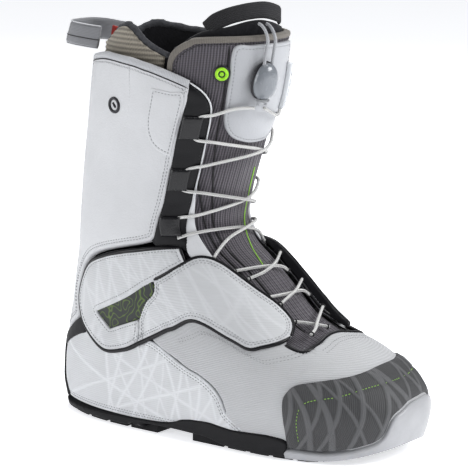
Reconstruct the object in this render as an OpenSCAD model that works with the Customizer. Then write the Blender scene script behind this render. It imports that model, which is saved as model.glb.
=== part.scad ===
// Snowboard boot for the right foot, with a cuff that flexes forward over the ankle.
// +X points to the toe, +Z up and +Y to the inner side of the foot.
// The origin is under the middle of the sole, on the ground.
//
// The boot is drawn on a stack of tilted slices. A place on it is a side angle and a height:
// the angle is 0 at the front, 90 at the outer side, 180 at the heel and 270 at the inner side,
// and the height is the slice's height in mm at the heel.

/* [Shell] */
// Thickness of the outer shell panels
shell_t = 2.6; // [2:0.1:3]
// Thickness of the overlays sewn on the shell
overlay_t = 1.4; // [1:0.1:1.8]
// Gap between one layer and the next
layer_gap = 0.9; // [0.8:0.05:1]

/* [Tongue and liner] */
// Thickness of the tongue
tongue_t = 3; // [2:0.1:3.2]
// Thickness of the liner's foam wall
liner_t = 5; // [3:0.5:7]

/* [Sole] */
// Thickness of the outsole rubber
outsole_t = 8; // [7:0.5:8]
// Depth of the tread grooves
tread_d = 3; // [1:0.5:4]
// Lift of the toe above the ground
toe_spring = 14; // [8:1:15]
// Length of the arch between the heel and forefoot treads
arch_l = 34; // [20:2:50]

/* [Laces and loops] */
// Diameter of the lace
lace_d = 2.4; // [2:0.2:3]
// Width of the front pull loop's webbing
front_loop_w = 12; // [10:1:13]
// Width of the rear pull loop's webbing
rear_loop_w = 17; // [12:1:17]
// Thickness of the webbing
webbing_t = 1.8; // [1:0.2:2.4]

/* [Hidden] */

// Slices: heel height, heel x, front x, front z, outer and inner half width,
// roundness, widening to the front, waist
SLICES = [
    [0, -145, 143, 0, 54, 51, 2.6, 0.22, 1],
    [8, -147, 147, 8, 56, 53, 2.6, 0.22, 1],
    [22, -150, 152, 22, 57, 54, 2.6, 0.22, 1],
    [36, -150, 154, 36, 58, 55, 2.55, 0.22, 1],
    [50, -149, 148, 49, 57, 54, 2.5, 0.22, 0.9],
    [60, -147, 138, 59, 56, 53, 2.45, 0.22, 0.8],
    [70, -145, 122, 69, 54.5, 52, 2.4, 0.2, 0.65],
    [80, -142.5, 104, 76, 53, 51, 2.35, 0.17, 0.5],
    [90, -140.5, 86, 82, 52, 50, 2.3, 0.13, 0.35],
    [101, -138, 67, 92, 51, 49, 2.3, 0.09, 0.2],
    [112, -135.5, 48, 110, 50, 48, 2.25, 0.05, 0.1],
    [124, -133, 30, 127, 49, 47.5, 2.2, 0.02, 0],
    [136, -131, 14, 140, 48.5, 47, 2.2, 0, 0],
    [150, -129.5, 6, 155, 48.5, 47, 2.2, 0, 0],
    [170, -127.5, 9, 174, 49, 48, 2.2, 0, 0],
    [195, -124.5, 16, 197, 50.5, 49, 2.2, 0, 0],
    [220, -121, 24, 222, 52, 51, 2.2, 0, 0],
    [247, -117.5, 33, 248, 54, 53, 2.2, 0, 0],
    [275, -114, 38, 275, 55, 54, 2.2, 0, 0],
    [302, -111, 41, 302, 56, 55, 2.2, 0, 0],
    [315, -110, 42, 315, 56, 55, 2.2, 0, 0]
];
outer_waist = 0.08;
inner_waist = 0.16;
waist_place = -0.15;
waist_length = 0.35;

// Degrees between the columns of a panel
column = 9;

// Room between the shell, the tongue and the liner
layer_clear = 1;
// Layers, as the distances of their inner and outer faces from the shell's outer face
shell = [-shell_t, 0];
overlay = [layer_gap, layer_gap + overlay_t];
top_overlay = [2 * layer_gap + overlay_t, 2 * layer_gap + overlay_t + 0.8];
tongue = [-shell_t - layer_clear - tongue_t, -shell_t - layer_clear];
tongue_cover = [tongue[1] + layer_gap, tongue[1] + layer_gap + 1.4];
liner = [tongue[0] - layer_clear - liner_t, tongue[0] - layer_clear];
liner_cover = [liner[1] + 0.6, liner[1] + 2];
rand = [layer_gap, layer_gap + 1.7];

// Edges, as heights at side angles: the lower boot's top, the cuff's bottom and top
LOWER_TOP = [[12, 90], [20, 97], [28, 106], [35, 115], [45, 124], [54, 127], [81, 122],
    [111, 120], [127, 116], [180, 112]];
CUFF_BOTTOM = [[0, 145], [66, 143], [81, 136], [111, 128], [127, 122], [180, 118]];
CUFF_TOP = [[46, 240], [50, 248], [56, 255], [65, 261], [80, 267], [100, 274], [122, 276],
    [150, 271], [180, 269]];
LINER_TOP = [[81, 273.5], [92, 279.5], [103, 287.5], [112, 296.5], [122, 294], [135, 285],
    [147, 281], [180, 281], [200, 286], [213, 290.5], [235, 286], [248, 284.5], [265, 280],
    [279, 275]];
LINER_TONGUE_TOP = [[-78, 282], [-70, 288], [-60, 293], [-20, 295.5], [-10, 297.5], [0, 300],
    [12, 302.5], [25, 302], [36, 299.5], [44, 297.5], [54, 296.5], [63, 294.5], [72, 288.5],
    [78, 282]];
TONGUE_TOP = [[-80, 277], [-77, 283], [-70, 288], [-58, 290], [58, 290], [70, 287], [77, 281],
    [80, 275]];
RAND_TOP = [[62, 14], [69, 17], [81, 16], [88, 18], [92, 16], [95, 12], [102, 10], [180, 8]];
RAND_BOTTOM = [[62, 2], [81, 2], [88, 6], [95, 7], [103, 6], [110, 2.5], [180, 2]];
BUMPER_TOP = [[-62, 9], [-45, 9.5], [-30, 18], [-24, 34], [-14, 42], [0, 42], [9, 38], [16, 33],
    [20, 19], [45, 9.5], [62, 9]];
BUMPER_BOTTOM = [[-62, 1], [-45, 2], [-30, 6], [-15, 10], [0, toe_spring - 2], [15, 10],
    [30, 6], [45, 2], [62, 1]];
CAP_TOP = [[-61, 46], [-52, 57], [-25, 65], [0, 66], [25, 64], [42, 60], [55, 56], [61.5, 48]];
WING_BOTTOM = [[22, 93], [31, 91], [55, 81], [65, 75], [72, 95], [77, 96], [85, 91], [96, 76],
    [102, 70]];
WING_TOP = [[22, 98], [28, 105], [35, 114], [45, 123], [54, 126], [68, 122], [86, 114],
    [93, 101], [102, 85]];
ANKLE_BOTTOM = [[78, 118], [86, 117], [103, 71], [112, 59], [117, 55], [122, 56], [131, 65],
    [139, 75], [144, 89]];
ANKLE_TOP = [[78, 121], [111, 119], [127, 115], [137, 106], [144, 91]];

// The lace lock: its lean with the tongue, its turn to the outer side, middle and size
lock_lean = 10.5;
lock_turn = -18;
lock_place = [38, -18, 262];
lock_size = [8, 20, 27];
lock_lace_y = [-3.4, 3.4];
lace_reach = 29;

// Routes of the two pull loops' webbing
FRONT_LOOP = [[13.8, -33, 307], [18, -29.6, 308.8], [21.7, -25.8, 310], [25.2, -21, 311],
    [29, -12, 311.5], [30.7, -4, 310.6], [30.3, 7, 307.8], [28.5, 14, 305.4], [24, 18, 304]];
REAR_LOOP = [[-110, -18, 283.5], [-118, -18.5, 284], [-130, -18.5, 285], [-140, -15, 285.5],
    [-145, -8, 285.5], [-146, 0, 285.5], [-145, 8, 285.5], [-140, 15, 285.5],
    [-130, 18.5, 285], [-118, 18.5, 284], [-110, 18, 283.5]];
rear_loop_lean = 15;

// Places of the cuff's lace guides, as height, half height and the angle of the front edge
guide_span = 8;
GUIDES = [[150, 8, 61], [188, 9, 59.5], [227, 9, 58.5]];

// Strands of the lace, as side angle, height and distance from the shell's outer face. Each
// lower strand runs from the outer to the inner edge of the throat, and every second one is
// on top
LOWER_STRANDS = [
    [[35, 122, 1], [10, 123, 1], [-8, 121, 1], [-16, 118, 0.6]],
    [[29, 118, 1.2], [14, 120, 2.8], [0, 122.5, 3.8], [-28, 125, 3.4]],
    [[24, 110, 1], [6, 110.5, 1], [-10, 110, 1], [-21, 107, 0.6]],
    [[19, 107, 1.2], [9, 109, 3], [0, 110.5, 3.8], [-29, 112, 3.4]],
    [[18, 100, 1], [8, 98, 1], [-1, 93.5, 1.4]],
    [[20, 89.5, 3.6], [12, 93, 3.4], [4, 97, 3.8], [-17, 102, 3.4]]
];
FLEX_STRANDS = [
    [[58.5, 142.2, 2.2], [46, 145.5, 1.8], [25, 147.5, 1.2], [0, 146, 1], [-20, 141, 1],
        [-34, 134, 0.6], [-41, 130, 0]],
    [[-58.5, 142.2, 2.2], [-46, 145.5, 1.8], [-25, 147.5, 1.8], [0, 146, 3.8], [20, 141, 2],
        [34, 134, 0.6], [41, 130, 0]]
];
UPPER_STRANDS = [
    [[20.5, 243, 4.8], [28, 242.5, 2.4], [36, 241, 1.4], [46, 237.5, 1.6], [56, 234.5, 2.2],
        [56, 220, 2.2], [40, 216, 1.4], [0, 208, 1], [-40, 200, 1.4], [-57, 195.5, 2.2],
        [-57, 181, 2.2], [-40, 177, 1.4], [0, 168.5, 1], [40, 160, 1.4], [58.5, 156.5, 2.2],
        [58.5, 144.8, 2.2]],
    [[12.5, 242.5, 4.8], [4, 238, 2.6], [-8, 233, 1.6], [-40, 233, 1.6], [-56, 234.5, 2.2],
        [-56, 220, 2.2], [-40, 216, 1.4], [0, 208, 3.8], [40, 200, 1.4], [57, 195.5, 2.2],
        [57, 181, 2.2], [40, 177, 1.4], [0, 168.5, 3.8], [-40, 160, 1.4],
        [-58.5, 156.5, 2.2], [-58.5, 144.8, 2.2]]
];

$fn = 32;

// Slices and places on the boot
function last(list) = len(list) - 1;
function slope(i) =
    let (a = SLICES[max(i - 1, 0)], b = SLICES[min(i + 1, last(SLICES))])
    (b - a) / (b[0] - a[0]);
function below(h, i = 0) =
    i == last(SLICES) - 1 || SLICES[i + 1][0] > h ? i : below(h, i + 1);
function slice_at(h) =
    let (i = below(h), a = SLICES[i], b = SLICES[i + 1], d = b[0] - a[0],
        t = min(max((h - a[0]) / d, 0), 1), t2 = t * t, t3 = t2 * t)
    (2 * t3 - 3 * t2 + 1) * a + (t3 - 2 * t2 + t) * d * slope(i)
    + (3 * t2 - 2 * t3) * b + (t3 - t2) * d * slope(i + 1);
function unit(v) = v / norm(v);
function wave(x, power) = sign(x) * pow(abs(x), power);
function slice_normals(h) =
    let (step = slice_at(h + 0.5) - slice_at(h - 0.5))
    [unit([-step[0], step[1]]), unit([step[3], -step[2]])];
function place(a, h, off = 0) =
    let (s = slice_at(h), n = slice_normals(h), c = cos(a), power = 2 / s[6],
        back = [s[1], s[0]] + off * n[0], front = [s[2], s[3]] + off * n[1],
        t = 0.5 + 0.5 * wave(c, power), xz = back + (front - back) * t,
        outside = sin(a) >= 0, half = (outside ? s[4] : s[5]) + off,
        waist = s[8] * (outside ? outer_waist : inner_waist),
        pull = 1 - waist * exp(-pow((c - waist_place) / waist_length, 2)))
    [xz[0], -half * wave(sin(a), power) * (1 + s[7] * c) * pull, xz[1]];

// Tables of heights that run round the front or round the heel
function flip(table, about) = [for (i = [last(table):-1:0]) [about - table[i][0], table[i][1]]];
function round_front(table) = concat(flip(table, 0), table);
function round_heel(table) = concat(table, flip(table, 360));
function raise(table, by) = [for (p = table) [p[0], p[1] + by]];

// Triangles of a four-sided face
function quad(a, b, c, d) = [[a, b, c], [a, c, d]];

// A closed curved panel from angle a0 to a1, between two edges, as thick as its layer.
// Every panel has its columns at the same angles, so that layers nest
module panel(a0, a1, lo, hi, layer, dh = 12) {
    inner_columns = [for (k = [ceil((a0 + 1) / column):floor((a1 - 1) / column)]) k * column];
    angles = concat([a0], inner_columns, [a1]);
    columns = last(angles);
    tall = max([for (a = angles) lookup(a, hi) - lookup(a, lo)]);
    rows = max(1, ceil(tall / dh));
    ring = a1 - a0 == 360;
    stacks = ring ? columns : columns + 1;
    points = [for (i = [0:stacks - 1]) for (j = [0:rows]) for (k = [0, 1])
        let (a = angles[i], h = lookup(a, lo) + (lookup(a, hi) - lookup(a, lo)) * j / rows)
        place(a, h, layer[k])];
    function at(i, j, k) = ((i % stacks) * (rows + 1) + j) * 2 + k;
    sheets = [for (i = [0:columns - 1]) for (j = [0:rows - 1]) each concat(
        quad(at(i, j, 1), at(i + 1, j, 1), at(i + 1, j + 1, 1), at(i, j + 1, 1)),
        quad(at(i, j, 0), at(i, j + 1, 0), at(i + 1, j + 1, 0), at(i + 1, j, 0)))];
    rims = [for (i = [0:columns - 1]) each concat(
        quad(at(i, rows, 0), at(i, rows, 1), at(i + 1, rows, 1), at(i + 1, rows, 0)),
        quad(at(i, 0, 1), at(i, 0, 0), at(i + 1, 0, 0), at(i + 1, 0, 1)))];
    ends = ring ? [] : [for (j = [0:rows - 1]) each concat(
        quad(at(0, j, 1), at(0, j + 1, 1), at(0, j + 1, 0), at(0, j, 0)),
        quad(at(columns, j, 0), at(columns, j + 1, 0), at(columns, j + 1, 1),
            at(columns, j, 1)))];
    polyhedron(points, concat(sheets, rims, ends));
}

// A round cord swept along points, with one ring at each
module cord(points, d, sides = 6) {
    n = last(points);
    function along(i) = unit(points[min(i + 1, n)] - points[max(i - 1, 0)]);
    function side(i) = unit(cross(along(i), [0.3, 0.2, 1]));
    rings = [for (i = [0:n]) for (k = [0:sides - 1])
        let (t = 360 * k / sides, u = side(i), v = cross(along(i), u))
        points[i] + d / 2 * (cos(t) * u + sin(t) * v)];
    walls = [for (i = [0:n - 1]) for (k = [0:sides - 1])
        let (m = (k + 1) % sides, a = i * sides, b = a + sides)
        each quad(a + k, b + k, b + m, a + m)];
    caps = [[for (k = [0:sides - 1]) k], [for (k = [sides - 1:-1:0]) n * sides + k]];
    polyhedron(rings, concat(walls, caps));
}

// A lace laid over the boot: the route's points with two eased points between each pair
module lace(route, d = lace_d) {
    eased = [for (i = [0:last(route) - 1]) for (t = [0, 0.5])
        let (p = route[i] + (route[i + 1] - route[i]) * t) place(p[0], p[1], p[2])];
    end = route[last(route)];
    cord(concat(eased, [place(end[0], end[1], end[2])]), d);
}

// Children stand on the boot with +Z straight out of its surface
module stand_on(a, h, off) {
    along = place(a + 1, h, off) - place(a - 1, h, off);
    up = place(a, h + 1, off) - place(a, h - 1, off);
    out = unit(cross(up, along));
    translate(place(a, h, off)) rotate([0, acos(out[2]), atan2(out[1], out[0])]) children();
}

// The sole's plan outline, and a slab of it whose faces rise with parts of the toe's lift
function spring(x) = x < 92 ? 0 : toe_spring * pow((x - 92) / 55, 2);
module sole_plan(off) {
    polygon([for (a = [0:6:354]) let (p = place(a, 8, off)) [p[0], p[1]]]);
}
module sole_slab(x0, x1, bottom, top, off, low_lift, high_lift) {
    steps = 12;
    xs = [for (i = [0:steps]) x0 + (x1 - x0) * i / steps];
    low = [for (x = xs) [x, bottom + low_lift * spring(x)]];
    high = [for (i = [steps:-1:0])
        [xs[i], max(top + high_lift * spring(xs[i]), low[i][1] + 0.4)]];
    intersection() {
        translate([0, 0, -1]) linear_extrude(60) sole_plan(off);
        rotate([90, 0, 0]) linear_extrude(160, center = true) polygon(concat(low, high));
    }
}
heel_end = -38;
forefoot_start = heel_end + arch_l;
sole_back = -150;
sole_front = 146;
sole_inset = -shell_t - 0.6;
outsole_lift = 0.6;

// Tread grooves across the sole and along it
module grooves(xs, angle, w = 4) {
    for (x = xs) {
        translate([x, 0, 0]) rotate(angle) cube([w, 140, 2 * tread_d], center = true);
    }
}

module heel_outsole() {
    color("#1c1d20") difference() {
        sole_slab(sole_back, heel_end, 0, outsole_t, sole_inset, 1, outsole_lift);
        grooves([-132:22:-50], 0);
        translate([-100, 0, 0]) cube([88, 6, 2 * tread_d], center = true);
    }
}
module forefoot_outsole() {
    color("#1c1d20") difference() {
        sole_slab(forefoot_start, sole_front, 0, outsole_t, sole_inset, 1, outsole_lift);
        grooves([16:20:118], 12);
        translate([60, 18, 0]) rotate(-4) cube([90, 5, 2 * tread_d], center = true);
        translate([60, -18, 0]) rotate(4) cube([90, 5, 2 * tread_d], center = true);
    }
}
module sole_rand() {
    color("#202124") panel(62.5, 297.5, round_heel(RAND_BOTTOM), round_heel(RAND_TOP), rand);
}
module toe_bumper() {
    color("#c9ccd1") panel(-62, 62, BUMPER_BOTTOM, BUMPER_TOP, [layer_gap, layer_gap + 2.1]);
}
module midsole() {
    color("#3a3b3f") sole_slab(-143, 136, outsole_t + 0.1, 12.8, -shell_t - 0.8, outsole_lift, 0);
}
module shank() {
    color("#8d9096") translate([-34, 0, 14.1]) cube([130, 32, 1.6], center = true);
}
module lasting_board() {
    color("#b9a98a") translate([0, 0, 15.2]) linear_extrude(1.8) intersection() {
        sole_plan(-shell_t - 1.4);
        translate([-10, 0]) square([270, 140], center = true);
    }
}
module footbed() {
    color("#6f7a6a") translate([0, 0, 18.6]) linear_extrude(4) intersection() {
        sole_plan(liner[0] - 1.2);
        translate([-6, 0]) square([258, 140], center = true);
    }
}
module liner_foot() {
    color("#2a2a2d") panel(0, 360, [[0, 18], [360, 18]], [[0, 110], [360, 110]], liner, 8);
}
module heel_cup() {
    cup = [-shell_t - layer_clear - 1.2, -shell_t - layer_clear];
    color("#d8dadd") panel(118, 242, [[0, 20], [360, 20]], [[118, 34], [150, 62], [210, 62],
        [242, 34]], cup, 20);
}

VAMP_TOP = concat([[0, 88]], LOWER_TOP);
module vamp() {
    color("#e4e6ea") panel(-84, 84, [[-84, 8.6], [84, 8.6]], round_front(VAMP_TOP), shell, 8);
}
module toe_cap() {
    color("#7c7f82") panel(-61, 61.5, raise(BUMPER_TOP, 2), CAP_TOP, overlay, 6);
}
module heel_counter() {
    color("#eceef1") panel(86, 274, [[86, 8.6], [274, 8.6]], round_heel(LOWER_TOP), shell, 14);
}
module heel_rand() {
    color("#1c1d20") panel(150, 210, [[150, 9], [210, 9]], [[150, 12], [164, 50], [196, 50],
        [210, 12]], overlay);
}
module heel_band() {
    color("#1c1d20") panel(138, 222, [[138, 67], [165, 54], [195, 54], [222, 67]],
        [[138, 73], [165, 63], [195, 63], [222, 73]], overlay);
}

// Pairs of overlays: the outer side's table is flipped for the inner side
module wing_panel(lo, hi) {
    panel(lo[0][0], lo[last(lo)][0], lo, hi, overlay, 6);
}
module wing_panel_outer() {
    color("#dfe2e6") wing_panel(WING_BOTTOM, WING_TOP);
}
module wing_panel_inner() {
    color("#dfe2e6") wing_panel(flip(WING_BOTTOM, 0), flip(WING_TOP, 0));
}
module ankle_panel_outer() {
    color("#e8eaed") wing_panel([for (p = ANKLE_BOTTOM) if (p[0] > 102) p],
        [for (p = concat([[103, 84]], ANKLE_TOP)) if (p[0] > 102) p]);
}
module ankle_panel_inner() {
    color("#e8eaed") wing_panel([for (p = flip(ANKLE_BOTTOM, 0)) if (p[0] < -102) p],
        [for (p = flip(concat([[103, 84]], ANKLE_TOP), 0)) if (p[0] < -102) p]);
}
WINDOW_BOTTOM = [[90, 100], [94, 97], [100, 87], [117, 74], [125, 83]];
WINDOW_TOP = [[90, 110], [125, 86]];
module ankle_window_outer() {
    color("#2c3a26") panel(91, 124, WINDOW_BOTTOM, WINDOW_TOP, top_overlay);
}
module ankle_window_inner() {
    color("#2c3a26") panel(-124, -91, flip(WINDOW_BOTTOM, 0), flip(WINDOW_TOP, 0), top_overlay);
}

// Black padded flap along the inner edge of the throat
flap_t = 4.6;
EYESTAY_EDGE = [for (p = LOWER_TOP) if (p[0] > 12 && p[0] < 50) [-p[0], p[1]]];
module eyestay_inner() {
    edge = [for (i = [last(EYESTAY_EDGE):-1:0]) EYESTAY_EDGE[i]];
    color("#1f2023") panel(-45, -20, raise(edge, -11), raise(edge, -0.6),
        [top_overlay[0], top_overlay[0] + flap_t]);
}
// Cord rings at the throat's edges, which hold the ends of the lower strands
module keeper(p, along) {
    translate(p) rotate([0, acos(along[2]), atan2(along[1], along[0])])
        rotate_extrude() translate([2.4, 0]) circle(d = 1, $fn = 16);
}
module lace_keepers() {
    color("#3b3c41") for (strand = LOWER_STRANDS) {
        spots = [for (p = strand) place(p[0], p[1], p[2])];
        n = last(spots);
        for (pair = [[spots[0], spots[1]], [spots[n], spots[n - 1]]]) {
            along = unit(pair[1] - pair[0]);
            keeper(pair[0] + 1.2 * along, along);
        }
    }
}
module lower_tongue() {
    color("#8a848c") panel(-34, 34, [[-34, 88], [0, 78], [34, 88]], [[-34, 110], [34, 110]],
        tongue, 8);
}
module lower_lace() {
    color("#e9e9e6") for (strand = LOWER_STRANDS) lace(strand);
}

// Pieces that bend as the cuff flexes
module ankle_gusset() {
    color("#c8cbd0") panel(50, 310, raise(round_heel(LOWER_TOP), 0.8),
        raise(round_heel(CUFF_BOTTOM), -0.8), shell);
}
module flex_tongue() {
    color("#8a848c") panel(-42, 42, [[-42, 111], [42, 111]], [[-42, 144], [42, 144]], tongue);
}
module flex_liner() {
    color("#2a2a2d") panel(0, 360, [[0, 110.8], [360, 110.8]],
        raise(round_heel(CUFF_BOTTOM), -0.8), liner);
}
module flex_lace() {
    color("#e9e9e6") for (strand = FLEX_STRANDS) lace(strand);
}

// Cuff
module cuff_panel_outer() {
    color("#eceef1") panel(66.5, 165, CUFF_BOTTOM, CUFF_TOP, shell, 24);
}
module cuff_panel_inner() {
    color("#eceef1") panel(195, 293.5, flip(CUFF_BOTTOM, 360), flip(CUFF_TOP, 360), shell, 24);
}
module back_stay() {
    color("#e4e6e9") panel(166, 194, round_heel(CUFF_BOTTOM), round_heel(CUFF_TOP), shell, 24);
}
module back_tab() {
    color("#1c1d20") panel(158, 202, [[158, 240], [180, 234], [202, 240]],
        [[158, 262], [202, 262]], overlay);
}
module facing_outer() {
    color("#26272b") panel(47.5, 65.5, CUFF_BOTTOM, CUFF_TOP, shell, 20);
}
module facing_inner() {
    color("#26272b") panel(-65.5, -47.5, flip(CUFF_BOTTOM, 0), flip(CUFF_TOP, 0), shell, 20);
}
module lace_guides() {
    color("#3b3c41") for (g = GUIDES) for (a0 = [g[2], -g[2] - guide_span]) {
        panel(a0, a0 + guide_span, [[a0, g[0] - g[1]]], [[a0, g[0] + g[1]]], overlay);
    }
}
module cuff_binding() {
    color("#c4c7cc") panel(68, 292, raise(round_heel(CUFF_TOP), 0.4),
        raise(round_heel(CUFF_TOP), 3.4), [-shell_t - 0.2, 0.6]);
}
module stash_pocket() {
    color("#e2e4e8") panel(68, 87, [[68, 207], [78, 211], [84, 218], [87, 230]],
        [[68, 250], [87, 254]], overlay);
}
module side_badge() {
    color("#303236") stand_on(108, 240, layer_gap) cylinder(d = 11, h = 1.2);
}
module upper_tongue() {
    color("#8a848c") panel(-80, 80, [[-80, 250], [-64, 200], [-62, 146], [62, 146], [64, 200],
        [80, 250]], TONGUE_TOP, tongue, 13);
}
module tongue_shield() {
    color("#e6e8eb") panel(-24, 38, [[-24, 219], [-8, 213], [14, 214], [29, 219], [36, 228],
        [38, 240]], [[-24, 287], [38, 287]], tongue_cover, 16);
}
module tongue_binding() {
    color("#8f8880") panel(-80, 80, raise(TONGUE_TOP, 0.6), raise(TONGUE_TOP, 3.6),
        [tongue[0] - 0.4, tongue[1] + 0.6]);
}
module tongue_badge() {
    color("#9ccc3c") stand_on(45, 267, tongue[1] + layer_gap) cylinder(d = 12, h = 1.2);
}

// Liner's shaft
module liner_cuff() {
    color("#2a2a2d") panel(81, 279, round_heel(CUFF_BOTTOM), LINER_TOP, liner, 28);
}
module liner_collar() {
    color("#3a3a3e") panel(82, 278, raise(LINER_TOP, 0.5), raise(LINER_TOP, 6.5),
        [liner[0] - 1, liner[1]]);
}
module liner_knit() {
    color("#b7ad97") panel(84, 276, [[84, 262], [276, 262]], raise(LINER_TOP, -2), liner_cover, 14);
}
module liner_tongue() {
    color("#242427") panel(-78, 78, [[-78, 138], [-66, 143.5], [0, 145], [66, 143.5], [78, 138]],
        LINER_TONGUE_TOP, liner, 14);
}
module upper_lace() {
    color("#e9e9e6") for (strand = UPPER_STRANDS) lace(strand);
}
module lace_dock() {
    color("#d0d3d7") panel(-30, -15, [[-30, 240], [-15, 236]], [[-30, 270], [-15, 272]],
        [tongue_cover[1] + layer_gap, 2.8]);
}

// The lock slides on the two lace ends, which run through its bores up to the front loop
module along_lock() {
    translate(lock_place) rotate([0, lock_lean, 0]) rotate(lock_turn) children();
}
module lock_slice(inset) {
    r = lock_size[1] / 2 - inset;
    reach = (lock_size[2] - lock_size[1]) / 2;
    hull() for (x = [-reach, reach]) translate([x, 0]) circle(r);
}
module lace_lock() {
    layers = [[lock_size[0], 2.4], [lock_size[0] * 0.7, 0.9], [lock_size[0] * 0.35, 0]];
    color("#8b8f96") along_lock() difference() {
        for (layer = layers) {
            rotate([0, 90, 0]) linear_extrude(layer[0], center = true) lock_slice(layer[1]);
        }
        for (y = lock_lace_y) {
            translate([0, y, 0]) cylinder(d = lace_d + 1.2, h = 60, center = true);
        }
    }
}
module loop_lace() {
    start = 17.5;
    color("#a9acb1") along_lock() for (y = lock_lace_y) {
        translate([0, y, -start]) cylinder(d = lace_d, h = start + lace_reach);
        cord([[0, y, lace_reach], [-2, y, lace_reach + 4], [-6, y, lace_reach + 7.5],
            [-10, y, lace_reach + 9.2], [-13, y, lace_reach + 9.5]], lace_d, 8);
    }
}

// A webbing band swept along points, with its width standing up or leaning in
module band(points, w, lean = 0) {
    n = last(points);
    function along(i) = unit(points[min(i + 1, n)] - points[max(i - 1, 0)]);
    function out(i) = unit(cross(along(i), [0, 0, 1]));
    function up(i) = cos(lean) * cross(out(i), along(i)) + sin(lean) * out(i);
    function thick(i) = cross(along(i), up(i));
    corners = [[1, 1], [1, -1], [-1, -1], [-1, 1]];
    rings = [for (i = [0:n]) for (c = corners)
        points[i] + c[0] * webbing_t / 2 * thick(i) + c[1] * w / 2 * up(i)];
    walls = [for (i = [0:n - 1]) for (k = [0:3])
        let (m = (k + 1) % 4, a = 4 * i, b = a + 4) each quad(a + k, b + k, b + m, a + m)];
    polyhedron(rings, concat(walls, quad(0, 1, 2, 3),
        quad(4 * n + 3, 4 * n + 2, 4 * n + 1, 4 * n)));
}
module front_pull_loop() {
    color("#1e1f22") band(FRONT_LOOP, front_loop_w);
}
module rear_pull_loop() {
    color("#a3a6ab") band(REAR_LOOP, rear_loop_w, rear_loop_lean);
}

heel_outsole();
forefoot_outsole();
sole_rand();
toe_bumper();
midsole();
shank();
lasting_board();
footbed();
liner_foot();
heel_cup();
vamp();
toe_cap();
heel_counter();
heel_rand();
heel_band();
wing_panel_outer();
wing_panel_inner();
ankle_panel_outer();
ankle_panel_inner();
ankle_window_outer();
ankle_window_inner();
eyestay_inner();
lace_keepers();
lower_tongue();
lower_lace();
ankle_gusset();
flex_tongue();
flex_liner();
flex_lace();
cuff_panel_outer();
cuff_panel_inner();
back_stay();
back_tab();
facing_outer();
facing_inner();
lace_guides();
cuff_binding();
stash_pocket();
side_badge();
upper_tongue();
tongue_shield();
tongue_binding();
tongue_badge();
liner_cuff();
liner_collar();
liner_knit();
liner_tongue();
upper_lace();
lace_dock();
loop_lace();
lace_lock();
front_pull_loop();
rear_pull_loop();
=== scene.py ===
"""Snowboard boot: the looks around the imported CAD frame.

Places on the boot are a side angle and a height, as on its tilted slices: the angle is 0 at the
front, 90 at the outer side, 180 at the heel and -90 at the inner side, and the height is the
slice's height at the heel. Lengths in this file are millimetres, and meshes are made in metres.
"""
import math
import random
import bpy
import numpy as np
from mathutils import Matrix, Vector
from mathutils.geometry import delaunay_2d_cdt


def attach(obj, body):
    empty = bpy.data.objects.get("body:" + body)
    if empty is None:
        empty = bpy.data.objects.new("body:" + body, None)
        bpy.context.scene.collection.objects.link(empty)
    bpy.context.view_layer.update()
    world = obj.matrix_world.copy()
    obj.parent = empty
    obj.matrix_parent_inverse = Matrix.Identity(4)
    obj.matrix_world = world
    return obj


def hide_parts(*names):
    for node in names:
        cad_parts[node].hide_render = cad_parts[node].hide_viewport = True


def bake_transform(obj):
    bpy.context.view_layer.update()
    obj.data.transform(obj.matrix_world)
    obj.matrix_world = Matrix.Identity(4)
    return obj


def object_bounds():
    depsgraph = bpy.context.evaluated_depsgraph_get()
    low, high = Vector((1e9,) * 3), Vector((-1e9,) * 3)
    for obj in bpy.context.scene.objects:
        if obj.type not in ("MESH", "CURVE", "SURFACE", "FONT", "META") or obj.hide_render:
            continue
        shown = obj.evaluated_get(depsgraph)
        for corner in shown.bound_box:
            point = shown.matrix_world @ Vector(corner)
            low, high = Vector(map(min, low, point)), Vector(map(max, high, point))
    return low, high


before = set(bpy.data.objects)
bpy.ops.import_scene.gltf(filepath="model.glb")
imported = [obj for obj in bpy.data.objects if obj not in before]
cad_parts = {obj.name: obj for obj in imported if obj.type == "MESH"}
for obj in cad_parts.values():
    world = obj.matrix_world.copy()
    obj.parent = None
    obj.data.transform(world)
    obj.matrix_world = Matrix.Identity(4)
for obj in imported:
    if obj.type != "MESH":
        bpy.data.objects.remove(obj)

cad_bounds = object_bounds()
MM = 0.001
random.seed(7)

# ---------------------------------------------------------------- boot surface

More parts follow.
